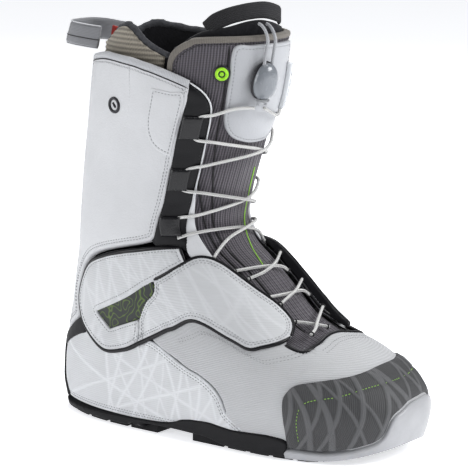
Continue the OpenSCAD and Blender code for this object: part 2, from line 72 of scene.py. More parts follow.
# Slices: heel height, heel x, front x, front z, outer and inner half width,
# roundness, widening to the front, waist
SLICES = np.array([
    [0, -145, 143, 0, 54, 51, 2.6, 0.22, 1],
    [8, -147, 147, 8, 56, 53, 2.6, 0.22, 1],
    [22, -150, 152, 22, 57, 54, 2.6, 0.22, 1],
    [36, -150, 154, 36, 58, 55, 2.55, 0.22, 1],
    [50, -149, 148, 49, 57, 54, 2.5, 0.22, 0.9],
    [60, -147, 138, 59, 56, 53, 2.45, 0.22, 0.8],
    [70, -145, 122, 69, 54.5, 52, 2.4, 0.2, 0.65],
    [80, -142.5, 104, 76, 53, 51, 2.35, 0.17, 0.5],
    [90, -140.5, 86, 82, 52, 50, 2.3, 0.13, 0.35],
    [101, -138, 67, 92, 51, 49, 2.3, 0.09, 0.2],
    [112, -135.5, 48, 110, 50, 48, 2.25, 0.05, 0.1],
    [124, -133, 30, 127, 49, 47.5, 2.2, 0.02, 0],
    [136, -131, 14, 140, 48.5, 47, 2.2, 0, 0],
    [150, -129.5, 6, 155, 48.5, 47, 2.2, 0, 0],
    [170, -127.5, 9, 174, 49, 48, 2.2, 0, 0],
    [195, -124.5, 16, 197, 50.5, 49, 2.2, 0, 0],
    [220, -121, 24, 222, 52, 51, 2.2, 0, 0],
    [247, -117.5, 33, 248, 54, 53, 2.2, 0, 0],
    [275, -114, 38, 275, 55, 54, 2.2, 0, 0],
    [302, -111, 41, 302, 56, 55, 2.2, 0, 0],
    [315, -110, 42, 315, 56, 55, 2.2, 0, 0],
])
OUTER_WAIST, INNER_WAIST, WAIST_PLACE, WAIST_LENGTH = 0.08, 0.16, -0.15, 0.35
HEEL_Z, HEEL_X, FRONT_X, FRONT_Z, HALF_OUT, HALF_IN, ROUND, WIDEN, WAIST = range(9)


def slice_at(height):
    """The slice at each height, eased between the rows of SLICES."""
    heights = SLICES[:, 0]
    last = len(heights) - 1
    low, high = np.maximum(np.arange(last + 1) - 1, 0), np.minimum(np.arange(last + 1) + 1, last)
    slopes = (SLICES[high] - SLICES[low]) / (heights[high] - heights[low])[:, None]
    h = np.clip(height, heights[0], heights[-1])
    i = np.clip(np.searchsorted(heights, h, side="right") - 1, 0, last - 1)
    d = (heights[i + 1] - heights[i])[..., None]
    t = (h - heights[i])[..., None] / d
    t2, t3 = t * t, t * t * t
    return ((2 * t3 - 3 * t2 + 1) * SLICES[i] + (t3 - 2 * t2 + t) * d * slopes[i]
            + (3 * t2 - 2 * t3) * SLICES[i + 1] + (t3 - t2) * d * slopes[i + 1])


def place(angle, height, off=0.0):
    """Points in mm at side angles (degrees), heights and distances from the shell's face."""
    angle, height, off = np.broadcast_arrays(*(np.asarray(v, float) for v in (angle, height, off)))
    s, step = slice_at(height), slice_at(height + 0.5) - slice_at(height - 0.5)
    heel_len = np.hypot(step[..., HEEL_X], step[..., HEEL_Z])
    front_len = np.hypot(step[..., FRONT_X], step[..., FRONT_Z])
    back_x = s[..., HEEL_X] - off * step[..., HEEL_Z] / heel_len
    back_z = s[..., HEEL_Z] + off * step[..., HEEL_X] / heel_len
    front_x = s[..., FRONT_X] + off * step[..., FRONT_Z] / front_len
    front_z = s[..., FRONT_Z] - off * step[..., FRONT_X] / front_len
    c, sn, power = np.cos(np.radians(angle)), np.sin(np.radians(angle)), 2 / s[..., ROUND]
    t = 0.5 + 0.5 * np.sign(c) * np.abs(c) ** power
    outside = sn >= 0
    half = np.where(outside, s[..., HALF_OUT], s[..., HALF_IN]) + off
    waist = s[..., WAIST] * np.where(outside, OUTER_WAIST, INNER_WAIST)
    pull = 1 - waist * np.exp(-((c - WAIST_PLACE) / WAIST_LENGTH) ** 2)
    y = -half * np.sign(sn) * np.abs(sn) ** power * (1 + s[..., WIDEN] * c) * pull
    return np.stack([back_x + (front_x - back_x) * t, y, back_z + (front_z - back_z) * t], -1)


def tangents(angle, height, off=0.0):
    """Surface steps per degree and per mm of height, and the outward normal."""
    along = (place(angle + 0.4, height, off) - place(angle - 0.4, height, off)) / 0.8
    up = (place(angle, height + 0.4, off) - place(angle, height - 0.4, off)) / 0.8
    out = np.cross(up, along)
    size = np.linalg.norm(out, axis=-1, keepdims=True)
    return along, up, out / np.maximum(size, 1e-9)


# Distance round the boot from the front, for weave coordinates
GIRTH_START, GIRTH_END, GIRTH_TOP, GIRTH_ROWS, PER_DEGREE = -200, 330, 315, 63, 2
GIRTH_ANGLES = np.linspace(GIRTH_START, GIRTH_END, (GIRTH_END - GIRTH_START) * PER_DEGREE + 1)
GIRTH_HEIGHTS = np.linspace(0, GIRTH_TOP, GIRTH_ROWS + 1)
_grid = place(*np.meshgrid(GIRTH_ANGLES, GIRTH_HEIGHTS, indexing="ij"))
_steps = np.linalg.norm(np.diff(_grid, axis=0), axis=-1)
GIRTH = np.concatenate([np.zeros((1, len(GIRTH_HEIGHTS))), np.cumsum(_steps, axis=0)])
GIRTH -= GIRTH[-GIRTH_START * PER_DEGREE]


def flat(angle, height):
    """Weave coordinates in mm: distance round the boot and height."""
    i = np.clip((angle - GIRTH_START) * PER_DEGREE, 0, len(GIRTH_ANGLES) - 1.001)
    j = np.clip(height / GIRTH_TOP * GIRTH_ROWS, 0, GIRTH_ROWS - 0.001)
    a, b = i.astype(int), j.astype(int)
    u, v = i - a, j - b
    s = ((GIRTH[a, b] * (1 - v) + GIRTH[a, b + 1] * v) * (1 - u)
         + (GIRTH[a + 1, b] * (1 - v) + GIRTH[a + 1, b + 1] * v) * u)
    return np.stack([s, height], -1)


# ---------------------------------------------------------------- meshes

def mesh_object(name, points, faces, material, uv=None, smooth=True):
    """An object from points in mm; uv holds one weave coordinate in mm per point."""
    mesh = bpy.data.meshes.new(name)
    mesh.from_pydata((np.asarray(points) * MM).tolist(), [], faces)
    if uv is not None:
        layer = mesh.uv_layers.new(name="weave")
        index = np.empty(len(mesh.loops), int)
        mesh.loops.foreach_get("vertex_index", index)
        layer.data.foreach_set("uv", (np.asarray(uv) * MM)[index].astype(np.float32).ravel())
    mesh.materials.append(material)
    if smooth:
        mesh.polygons.foreach_set("use_smooth", [True] * len(mesh.polygons))
    mesh.update()
    item = bpy.data.objects.new(name, mesh)
    bpy.context.scene.collection.objects.link(item)
    return item


def curve_points(corners, closed=True, step=2.0):
    """A curve through (angle, height) points; a third value of 1 makes a sharp corner."""
    n = len(corners)
    p = np.array([c[:2] for c in corners], float)
    sharp = [len(c) > 2 and c[2] == 1 for c in corners]
    result = []
    for i in range(n if closed else n - 1):
        j = (i + 1) % n
        a, b = p[i], p[j]
        before = p[i - 1] if closed or i > 0 else a
        after = p[(j + 1) % n] if closed or j < n - 1 else b
        start = b - a if sharp[i] else (b - before) / 2
        end = b - a if sharp[j] else (after - a) / 2
        length = np.linalg.norm(place(b[0], b[1]) - place(a[0], a[1]))
        count = max(2, int(round(length / step)))
        for t in np.arange(count) / count:
            t2, t3 = t * t, t * t * t
            result.append((2 * t3 - 3 * t2 + 1) * a + (t3 - 2 * t2 + t) * start
                          + (3 * t2 - 2 * t3) * b + (t3 - t2) * end)
    if not closed:
        result.append(p[-1])
    return np.array(result)


def mirrored(corners):
    """The same outline on the inner side of the boot."""
    return [(-c[0], *c[1:]) for c in corners][::-1]


def whole(half, reverse=False):
    """An outline from its outer half, with the same points on the inner side."""
    twin = [(-c[0], *c[1:]) for c in half[::-1] if c[0]]
    return twin + half if reverse else half + twin


def two_sides(corners, both):
    """Name endings and outlines: the outer side and its twin, or one piece."""
    return (("_outer", corners), ("_inner", mirrored(corners))) if both else (("", corners),)


def inside(points, loop):
    """Which (angle, height) points lie inside a closed loop."""
    x, y = points[:, 0:1], points[:, 1:2]
    a, b = loop, np.roll(loop, -1, axis=0)
    crosses = (a[:, 1] > y) != (b[:, 1] > y)
    rise = np.where(b[:, 1] == a[:, 1], 1e-9, b[:, 1] - a[:, 1])
    at = a[:, 0] + (y - a[:, 1]) / rise * (b[:, 0] - a[:, 0])
    return (crosses & (x < at)).sum(1) % 2 == 1


def shift_loop(loop, by, closed=True):
    """A loop moved sideways along the surface, by mm into it (negative: out of it)."""
    pos = place(loop[:, 0], loop[:, 1])
    if closed:
        run = np.roll(pos, -1, axis=0) - np.roll(pos, 1, axis=0)
    else:
        run = np.gradient(pos, axis=0)
    along, up, out = tangents(loop[:, 0], loop[:, 1])
    side = np.cross(out, run)
    side /= np.maximum(np.linalg.norm(side, axis=1, keepdims=True), 1e-9)
    area = 0.5 * np.sum(loop[:, 0] * np.roll(loop[:, 1], -1) - np.roll(loop[:, 0], -1) * loop[:, 1])
    sign = -1 if closed and area > 0 else 1
    aa, bb, ab = (along * along).sum(1), (up * up).sum(1), (along * up).sum(1)
    da, db = (side * along).sum(1), (side * up).sum(1)
    det = aa * bb - ab * ab
    move = np.stack([(da * bb - db * ab) / det, (db * aa - da * ab) / det], -1)
    return loop + sign * by * move


def edge_distance(points, loops):
    """Distance in mm of each (angle, height) point from the nearest loop point."""
    pos = place(points[:, 0], points[:, 1])
    rim = np.concatenate([place(l[:, 0], l[:, 1]) for l in loops])
    best = np.empty(len(pos))
    for k in range(0, len(pos), 2000):
        gap = pos[k:k + 2000, None] - rim[None]
        best[k:k + 2000] = np.sqrt((gap * gap).sum(-1).min(1))
    return best


# Rows of points that follow an outline, in mm from it
RINGS = (0.35, 0.8, 1.5, 2.4, 3.4)


def patch(corners, cell=3.0, holes=()):
    """Triangles over an outline: (angle, height) points, faces and distances from the edge."""
    loops = [curve_points(c, True, min(2.0, cell)) for c in (corners, *holes)]
    loop = loops[0]
    fine = [np.repeat(l, 2, axis=0) for l in loops]
    for l, f in zip(loops, fine):
        f[1::2] = (l + np.roll(l, -1, axis=0)) / 2
    along, up, _ = tangents(loop[:, 0], loop[:, 1])
    wide, tall = np.linalg.norm(along, axis=1).mean(), np.linalg.norm(up, axis=1).mean()
    free = []
    for by in RINGS:
        for k, l in enumerate(loops):
            ring = shift_loop(l, by if k == 0 else -by)
            free.append(ring[edge_distance(ring, fine) > 0.8 * by])
    lo, hi = loop.min(0), loop.max(0)
    a, h = np.meshgrid(np.arange(lo[0], hi[0], cell / wide), np.arange(lo[1], hi[1], cell / tall))
    h = h.copy()
    h[:, 1::2] += cell / tall / 2
    grid = np.stack([a.ravel(), h.ravel()], -1)
    grid = grid[inside(grid, loop)]
    free.append(grid[edge_distance(grid, fine) > RINGS[-1] + 0.4 * cell])
    free = np.concatenate(free)
    keep = inside(free, loop)
    for l in loops[1:]:
        keep &= ~inside(free, l)
    free = free[keep]
    scale = np.array([wide, tall])
    points = np.concatenate(loops + [free]) * scale
    edges, start = [], 0
    for l in loops:
        edges += [(start + i, start + (i + 1) % len(l)) for i in range(len(l))]
        start += len(l)
    made = delaunay_2d_cdt([Vector(p) for p in points], edges, [], 0, 1e-4)
    flat_points = np.array([list(p) for p in made[0]]) / scale
    faces = np.array([f for f in made[2] if len(f) == 3])
    centre = flat_points[faces].mean(1)
    keep = inside(centre, loop)
    for l in loops[1:]:
        keep &= ~inside(centre, l)
    faces = faces[keep]
    used = np.unique(faces)
    lookup = np.full(len(flat_points), -1)
    lookup[used] = np.arange(len(used))
    faces, flat_points = lookup[faces], flat_points[used]
    d = edge_distance(flat_points, fine)
    return flat_points, faces, d


def two_sided(faces, count):
    """Faces of a closed skin: the outer side, the inner side and the wall between them."""
    pairs = set()
    for f in faces.tolist():
        for i in range(3):
            pairs.add((f[i], f[(i + 1) % 3]))
    walls = [(b, a, a + count, b + count) for a, b in pairs if (b, a) not in pairs]
    return faces.tolist() + (faces[:, ::-1] + count).tolist() + walls


# How far from its edge a panel's crown rises, and the half width of a stitch groove
CROWN_REACH, GROOVE_REACH = 9, 0.8


def panel(name, corners, material, base=0.0, thick=1.4, roll=1.1, crown=0.0, groove=None,
          relief=None, cell=3.0, under=0.5, holes=(), level=None):
    """A sewn panel on the boot: rolled edge, optional crown, stitch groove and relief. Its
    weave is laid out flat at one level, or level by level."""
    points, faces, d = patch(corners, cell, holes=holes)
    uv = flat(points[:, 0], points[:, 1])
    if level is not None:
        uv[:, 0] = flat(points[:, 0], np.full(len(points), float(level)))[:, 0]
    edge = np.clip(d / roll, 0, 1)
    off = base + thick * np.sqrt(np.clip(1 - (1 - edge) ** 2, 0, 1))
    off += crown * (1 - np.exp(-d / CROWN_REACH))
    if groove:
        off -= groove[1] * np.exp(-((d - groove[0]) / GROOVE_REACH) ** 2)
    if relief:
        off += relief(points, uv, d)
    top = place(points[:, 0], points[:, 1], off)
    low = place(points[:, 0], points[:, 1], base - under)
    # Triangles face out: the outline's turning sense decides their order
    a, b, c = (points[faces[:, k]] for k in range(3))
    turn = (b[:, 0] - a[:, 0]) * (c[:, 1] - a[:, 1]) - (b[:, 1] - a[:, 1]) * (c[:, 0] - a[:, 0])
    faces = np.where((turn > 0)[:, None], faces[:, ::-1], faces)
    return mesh_object(name, np.concatenate([top, low]), two_sided(faces, len(points)), material,
                       np.concatenate([uv, uv]))


def sleeve(name, a0, a1, section, material, step=3.0, ripple=None):
    """A closed section swept round the boot: section(angle) gives (height, off) points."""
    ring = abs(a1 - a0) >= 360
    count = max(12, int(abs(a1 - a0) * 1.25 / step))
    angles = np.linspace(a0, a1, count + 1)[:count if ring else count + 1]
    rows = [np.array(section(a), float) for a in angles]
    n = len(rows[0])
    a = np.repeat(angles, n)
    hs = np.concatenate(rows)
    off = hs[:, 1] + (ripple(a, hs[:, 0]) if ripple else 0)
    points = place(a, hs[:, 0], off)
    uv = flat(np.where(a > GIRTH_END - 1, a - 360, a), hs[:, 0])
    faces, m = [], len(angles)
    for i in range(m if ring else m - 1):
        for j in range(n):
            p, q = i * n + j, i * n + (j + 1) % n
            r, s = (i + 1) % m * n + j, (i + 1) % m * n + (j + 1) % n
            faces.append((p, r, s, q))
    if not ring:
        faces += [tuple(range(n)), tuple(range(m * n - 1, (m - 1) * n - 1, -1))]
    return mesh_object(name, points, faces, material, uv)


def wall_section(low, high, inner, outer, rows=8, lip=5):
    """A wall's section with a rounded top: up the outside, over the lip, down the inside."""
    mid, r = (inner + outer) / 2, (outer - inner) / 2
    up = [(low + (high - low) * k / rows, outer) for k in range(rows)]
    over = [(high + r * math.sin(t), mid + r * math.cos(t)) for t in np.linspace(0, math.pi, lip)]
    down = [(high - (high - low) * k / rows, inner) for k in range(1, rows + 1)]
    return up + over + down


def loft(rings, sides, closed=False):
    """Faces over rings of points, joined in a loop or closed by a cap at each end."""
    faces = [(i * sides + k, i * sides + (k + 1) % sides, (i + 1) % rings * sides
              + (k + 1) % sides, (i + 1) % rings * sides + k)
             for i in range(rings if closed else rings - 1) for k in range(sides)]
    caps = [tuple(range(sides))[::-1], tuple(range((rings - 1) * sides, rings * sides))]
    return faces if closed else faces + caps


def tube(name, points, radius, material, sides=8, closed=False, taper=None):
    """A round cord along points in mm."""
    p = np.asarray(points, float)
    n = len(p)
    run = np.roll(p, -1, 0) - np.roll(p, 1, 0) if closed else np.gradient(p, axis=0)
    run /= np.maximum(np.linalg.norm(run, axis=1, keepdims=True), 1e-9)
    side = np.zeros_like(p)
    side[0] = np.cross(run[0], (0.31, 0.22, 0.92))
    for i in range(n):
        if i:
            side[i] = side[i - 1] - run[i] * (side[i - 1] @ run[i])
        side[i] /= max(np.linalg.norm(side[i]), 1e-9)
    up = np.cross(run, side)
    t = np.arange(sides) * 2 * math.pi / sides
    r = np.full(n, radius) if taper is None else radius * taper(np.linspace(0, 1, n))
    rings = (p[:, None] + r[:, None, None] * (np.cos(t)[None, :, None] * side[:, None]
             + np.sin(t)[None, :, None] * up[:, None])).reshape(-1, 3)
    length = np.concatenate([[0], np.cumsum(np.linalg.norm(np.diff(p, axis=0), axis=1))])
    uv = np.stack([np.repeat(length, sides), np.tile(t * radius, n)], -1)
    return mesh_object(name, rings, loft(n, sides, closed), material, uv)


# Stitches are gathered by name and made into one mesh each
_threads = {}


def stitches(thread, loop, off, closed=True, pitch=2.7, length=1.9, radius=0.24):
    """Sews stitches along a curve of (angle, height) points."""
    pos = place(loop[:, 0], loop[:, 1], off)
    if closed:
        pos = np.concatenate([pos, pos[:1]])
        loop = np.concatenate([loop, loop[:1]])
    gaps = np.linalg.norm(np.diff(pos, axis=0), axis=1)
    run = np.concatenate([[0], np.cumsum(gaps)])
    keep = np.concatenate([[True], gaps > 1e-6])
    run, pos, loop = run[keep], pos[keep], loop[keep]
    for middle in np.arange(pitch / 2, run[-1] - pitch / 4, pitch):
        ends = [np.array([np.interp(m, run, pos[:, k]) for k in range(3)])
                for m in (middle - length / 2, middle + length / 2)]
        at = [np.interp(middle, run, loop[:, k]) for k in range(2)]
        out = tangents(np.array([at[0]]), np.array([at[1]]))[2][0]
        _threads.setdefault(thread, []).append((ends[0], ends[1], out, radius))


def sewn_objects(materials):
    """One mesh of small rounded stitches for each thread."""
    made = []
    for thread, rows in _threads.items():
        points, faces = [], []
        for a, b, out, r in rows:
            axis = (b - a) / max(np.linalg.norm(b - a), 1e-9)
            side = np.cross(axis, out)
            n = len(points)
            points.append(a - out * 0.6 * r)
            for t, k in ((0.18, 0.8), (0.5, 1.0), (0.82, 0.8)):
                points += [a + (b - a) * t + k * r * (math.cos(q * math.pi / 3) * side
                           + math.sin(q * math.pi / 3) * out) for q in range(6)]
            points.append(b - out * 0.6 * r)
            faces += [(n, n + 1 + (q + 1) % 6, n + 1 + q) for q in range(6)]
            for ring in (0, 6):
                faces += [(n + 1 + ring + q, n + 1 + ring + (q + 1) % 6,
                           n + 7 + ring + (q + 1) % 6, n + 7 + ring + q) for q in range(6)]
            faces += [(n + 19, n + 13 + q, n + 13 + (q + 1) % 6) for q in range(6)]
        made.append((thread, mesh_object("stitching_" + thread, points, faces,
                                         materials[thread])))
    return made


# ---------------------------------------------------------------- materials

class Look:
    """A material and short ways to add nodes to it. Patterns are in millimetres."""

    def __init__(self, name, roughness=0.5, coat=0.0, sheen=0.0, metallic=0.0, specular=0.5):
        self.name = name
        self.material = bpy.data.materials.new("look_" + name)
        self.material.use_nodes = True
        self.nodes, self.links = self.material.node_tree.nodes, self.material.node_tree.links
        self.shader = self.nodes["Principled BSDF"]
        for socket, value in (("Roughness", roughness), ("Coat Weight", coat),
                              ("Sheen Weight", sheen), ("Metallic", metallic),
                              ("Specular IOR Level", specular), ("Coat Roughness", 0.15)):
            self.shader.inputs[socket].default_value = value
        self.normal = None

    def feed(self, socket, value):
        if isinstance(value, bpy.types.NodeSocket):
            self.links.new(value, socket)
        elif value is not None:
            socket.default_value = value

    def math(self, operation, a, b=None, c=None, clamp=False):
        node = self.nodes.new("ShaderNodeMath")
        node.operation, node.use_clamp = operation, clamp
        for socket, value in zip(node.inputs, (a, b, c)):
            self.feed(socket, value)
        return node.outputs[0]

    def split(self, vector):
        """A vector's three numbers, turned from metres to mm."""
        node = self.nodes.new("ShaderNodeSeparateXYZ")
        self.links.new(vector, node.inputs[0])
        return [self.math("MULTIPLY", node.outputs[k], 1 / MM) for k in range(3)]

    def weave(self):
        """Distances along and up the sewn surface, in mm."""
        node = self.nodes.new("ShaderNodeUVMap")
        node.uv_map = "weave"
        return self.split(node.outputs[0])[:2]

    def texture(self, kind, size):
        """A texture in the object's own space, with features of one size in mm."""
        node = self.nodes.new(kind)
        self.links.new(self.nodes.new("ShaderNodeTexCoord").outputs["Object"],
                       node.inputs["Vector"])
        node.inputs["Scale"].default_value = 1 / (size * MM)
        return node

    def noise(self, size, detail=2.0):
        node = self.texture("ShaderNodeTexNoise", size)
        node.inputs["Detail"].default_value = detail
        return node.outputs[0]

    def cells(self, size):
        return self.texture("ShaderNodeTexVoronoi", size).outputs[0]

    def rib(self, along, pitch):
        """Waves from 0 to 1 along a distance."""
        wave = self.math("SINE", self.math("MULTIPLY", along, 2 * math.pi / pitch))
        return self.math("MULTIPLY_ADD", wave, 0.5, 0.5)

    def stripes(self, x, y, lines, edge=0.8):
        """1 on a set of straight stripes, 0 between them."""
        field = None
        for nx, ny, offset, half in lines:
            gap = self.math("MULTIPLY_ADD", y, ny, self.math("MULTIPLY_ADD", x, nx, -offset))
            inner = self.math("SUBTRACT", half + edge / 2, self.math("ABSOLUTE", gap))
            mask = self.math("DIVIDE", inner, edge, clamp=True)
            field = mask if field is None else self.math("MAXIMUM", field, mask)
        return field

    def mix(self, factor, a, b):
        node = self.nodes.new("ShaderNodeMix")
        node.data_type = "RGBA"
        for index, value in ((0, factor), (6, a), (7, b)):
            if isinstance(value, tuple):
                value = (*value, 1.0)
            self.feed(node.inputs[index], value)
        return node.outputs[2]

    def colour(self, value):
        self.feed(self.shader.inputs["Base Color"], value)
        return self

    def rough(self, field, low, high):
        """Roughness that follows a field from 0 to 1."""
        self.feed(self.shader.inputs["Roughness"],
                  self.math("MULTIPLY_ADD", field, high - low, low))
        return self

    def bump(self, height, depth, strength=1.0):
        node = self.nodes.new("ShaderNodeBump")
        node.inputs["Strength"].default_value = strength
        node.inputs["Distance"].default_value = depth * MM
        self.links.new(height, node.inputs["Height"])
        if self.normal:
            self.links.new(self.normal, node.inputs["Normal"])
        self.normal = node.outputs[0]
        self.links.new(self.normal, self.shader.inputs["Normal"])
        return self


def tone(colour, by):
    """A colour made lighter or darker."""
    return tuple(min(1.0, c * by) for c in colour)


def leather(name, colour, roughness=0.45, coat=0.0, grain=1.4, depth=0.08, spread=0.06,
            specular=0.4):
    """Smooth synthetic leather with fine grain and slight unevenness."""
    look = Look(name, roughness, coat, specular=specular)
    blotch = look.noise(28, 3)
    look.colour(look.mix(blotch, tone(colour, 1 - spread), tone(colour, 1 + spread)))
    look.rough(look.noise(9, 3), roughness - 0.07, roughness + 0.09)
    look.bump(look.cells(grain), depth).bump(look.noise(14, 2), 0.3)
    return look.bump(look.noise(42, 2), 1.5)


def woven(name, colour, pitch=1.6, upright=False, depth=0.18, dark=0.86, sheen=0.15):
    """Fabric with fine ribs along or up the surface and a crossing thread. Its colour is painted
    darker where the weave is low, as painted shade, mixed with a random mottle.
    """
    look = Look(name, 0.75, sheen=sheen)
    x, y = look.weave()
    rib, thread = look.rib(x if upright else y, pitch), look.rib(y if upright else x, pitch * 0.7)
    cloth = look.math("MULTIPLY_ADD", thread, 0.3, look.math("MULTIPLY", rib, 0.7))
    # Painted shade: the colour is darker where the weave is low, mixed with a random mottle.
    weave_shade_and_mottle = look.math("MULTIPLY_ADD", look.noise(20, 3), 0.25, look.math("MULTIPLY", cloth, 0.8))
    look.colour(look.mix(weave_shade_and_mottle, tone(colour, dark), tone(colour, 1.06)))
    return look.bump(cloth, depth).bump(look.noise(38, 2), 0.9)


def rubber(name, colour, roughness=0.55, depth=0.12, coat=0.0, size=0.9, specular=0.5):
    look = Look(name, roughness, coat, specular=specular)
    look.colour(look.mix(look.noise(16, 4), tone(colour, 0.85), tone(colour, 1.18)))
    look.rough(look.noise(6, 3), roughness - 0.08, roughness + 0.12)
    return look.bump(look.noise(size, 2), depth)


def fleece(name, colour, size=1.3, depth=0.7):
    """Brushed pile: soft clumps that scatter light at their edges. The higher pile is painted
    lighter, a painted sheen over a random tone.
    """
    look = Look(name, 0.95, sheen=0.18, specular=0.1)
    clump = look.math("MULTIPLY_ADD", look.noise(size, 4), 0.6,
                      look.math("MULTIPLY", look.noise(size * 5, 3), 0.4))
    # Painted sheen: the raised pile takes the light colour, the low pile the dark one.
    look.colour(look.mix(clump, tone(colour, 0.3), tone(colour, 2.4)))
    return look.bump(clump, depth)


def crossing_lines(seed, start, end, gap, middle, lean, half):
    """Straight stripes that lean both ways: (normal x, normal y, offset, half width) in mm."""
    rng = random.Random(seed)
    lines = []
    for k in range(int((end - start) / gap) + 1):
        side = 1 if k % 2 else -1
        turn = math.radians(side * rng.uniform(*lean))
        x = start + k * gap + rng.uniform(-0.3, 0.3) * gap
        nx, ny = math.cos(turn), math.sin(turn)
        lines.append((nx, ny, nx * x + ny * middle, rng.uniform(*half)))
    return lines


def stripe_field(uv, lines, edge=1.4):
    """The same stripes as Look.stripes, for points."""
    field = np.zeros(len(uv))
    for nx, ny, offset, half in lines:
        gap = np.abs(uv[:, 0] * nx + uv[:, 1] * ny - offset)
        field = np.maximum(field, np.clip((half + edge / 2 - gap) / edge, 0, 1))
    return field * field * (3 - 2 * field)


TOE_LINES = crossing_lines(11, -108, 108, 9, 36, (12, 30), (1.2, 2.6))
HEEL_LINES = (crossing_lines(5, 60, 270, 8, 40, (8, 34), (0.5, 1.5))
              + crossing_lines(6, 90, 300, 34, 40, (58, 74), (0.5, 1.2)))
WING_LINES = (crossing_lines(8, 20, 230, 9, 100, (6, 28), (0.5, 1.2))
              + crossing_lines(9, 40, 240, 40, 100, (50, 66), (0.4, 0.8)))


def scratched(name, colour, lines, ground_tone, edge):
    """White synthetic leather with a tone-on-tone print of crossing stripes."""
    look = Look(name, 0.5)
    x, y = look.weave()
    stripe = look.stripes(look.math("ABSOLUTE", x), y, lines, edge)
    blotch = look.noise(24, 3)
    ground = look.mix(blotch, tone(colour, ground_tone), tone(colour, ground_tone + 0.14))
    look.colour(look.mix(stripe, ground, tone(colour, 1.08)))
    look.rough(stripe, 0.55, 0.38)
    return look.bump(look.rib(y, 1.5), 0.07).bump(stripe, 0.14).bump(look.noise(12, 2), 0.2)


WHITE = (0.56, 0.568, 0.583)
PRINTED = (0.53, 0.54, 0.555)
BLACK = (0.007, 0.007, 0.009)


def toe_rubber():
    colour = (0.066, 0.067, 0.07)
    look = Look("toe_rubber", 0.6)
    x, y = look.weave()
    stripe = look.stripes(x, y, TOE_LINES, 1.4)
    hatch = look.rib(look.math("ADD", x, look.math("MULTIPLY", y, 0.35)), 1.5)
    # Painted shadow: a darker rim beside each raised band.
    rim = look.stripes(x, y, [(a, b, c, half + 0.8) for a, b, c, half in TOE_LINES], 0.7)
    # Painted shade: the hatch grooves are painted darker than its ridges.
    ground = look.mix(rim, look.mix(hatch, tone(colour, 0.8), tone(colour, 1.08)),
                      tone(colour, 0.72))
    look.colour(look.mix(stripe, ground, tone(colour, 1.75)))
    look.rough(look.noise(7, 3), 0.5, 0.68)
    return look.bump(hatch, 0.16).bump(look.noise(1.1, 2), 0.1)


def window_rubber():
    """Dark green rubber with thin raised contour lines."""
    look = Look("window_rubber", 0.45)
    wave = look.math("FRACT", look.math("MULTIPLY", look.noise(15, 1), 9.0))
    ridge = look.math("GREATER_THAN", wave, 0.76)
    look.colour(look.mix(ridge, (0.022, 0.026, 0.026), (0.085, 0.13, 0.03)))
    return look.bump(ridge, 0.3, 0.6)


def ribbed_tongue():
    colour = (0.118, 0.11, 0.125)
    look = Look("tongue_knit", 0.85, sheen=0.3, specular=0.3)
    x, y = look.weave()
    rib, knit = look.rib(x, 2.3), look.rib(y, 1.3)
    height = look.math("MULTIPLY_ADD", knit, 0.25, look.math("MULTIPLY", rib, 0.75))
    # Painted shade: the rib valleys are darker and the ridges lighter.
    look.colour(look.mix(height, tone(colour, 0.42), tone(colour, 1.35)))
    return look.bump(height, 0.45)


def lace_braid(name, colour):
    look = Look(name, 0.7, sheen=0.2)
    x, y = look.weave()
    one = look.rib(look.math("ADD", x, y), 1.5)
    other = look.rib(look.math("SUBTRACT", x, y), 1.5)
    braid = look.math("MAXIMUM", one, other)
    # Painted shade: darker in the grooves between the braid's strands.
    look.colour(look.mix(braid, tone(colour, 0.62), colour))
    return look.bump(braid, 0.25)


def pile_knit():
    colour = (0.3, 0.275, 0.23)
    look = Look("rib_knit", 0.9, sheen=0.3)
    x, y = look.weave()
    row, loop = look.rib(y, 3.4), look.rib(x, 1.7)
    height = look.math("MULTIPLY_ADD", loop, 0.3, look.math("MULTIPLY", row, 0.7))
    # Painted shade: the knit's valleys are darker and its raised loops lighter.
    look.colour(look.mix(height, tone(colour, 0.45), tone(colour, 1.2)))
    return look.bump(height, 0.5)


def metal(name, colour, roughness=0.32):
    look = Look(name, roughness, metallic=1.0)
    look.colour(look.mix(look.noise(5, 3), tone(colour, 0.8), tone(colour, 1.15)))
    return look.rough(look.noise(2, 3), roughness - 0.08, roughness + 0.14)


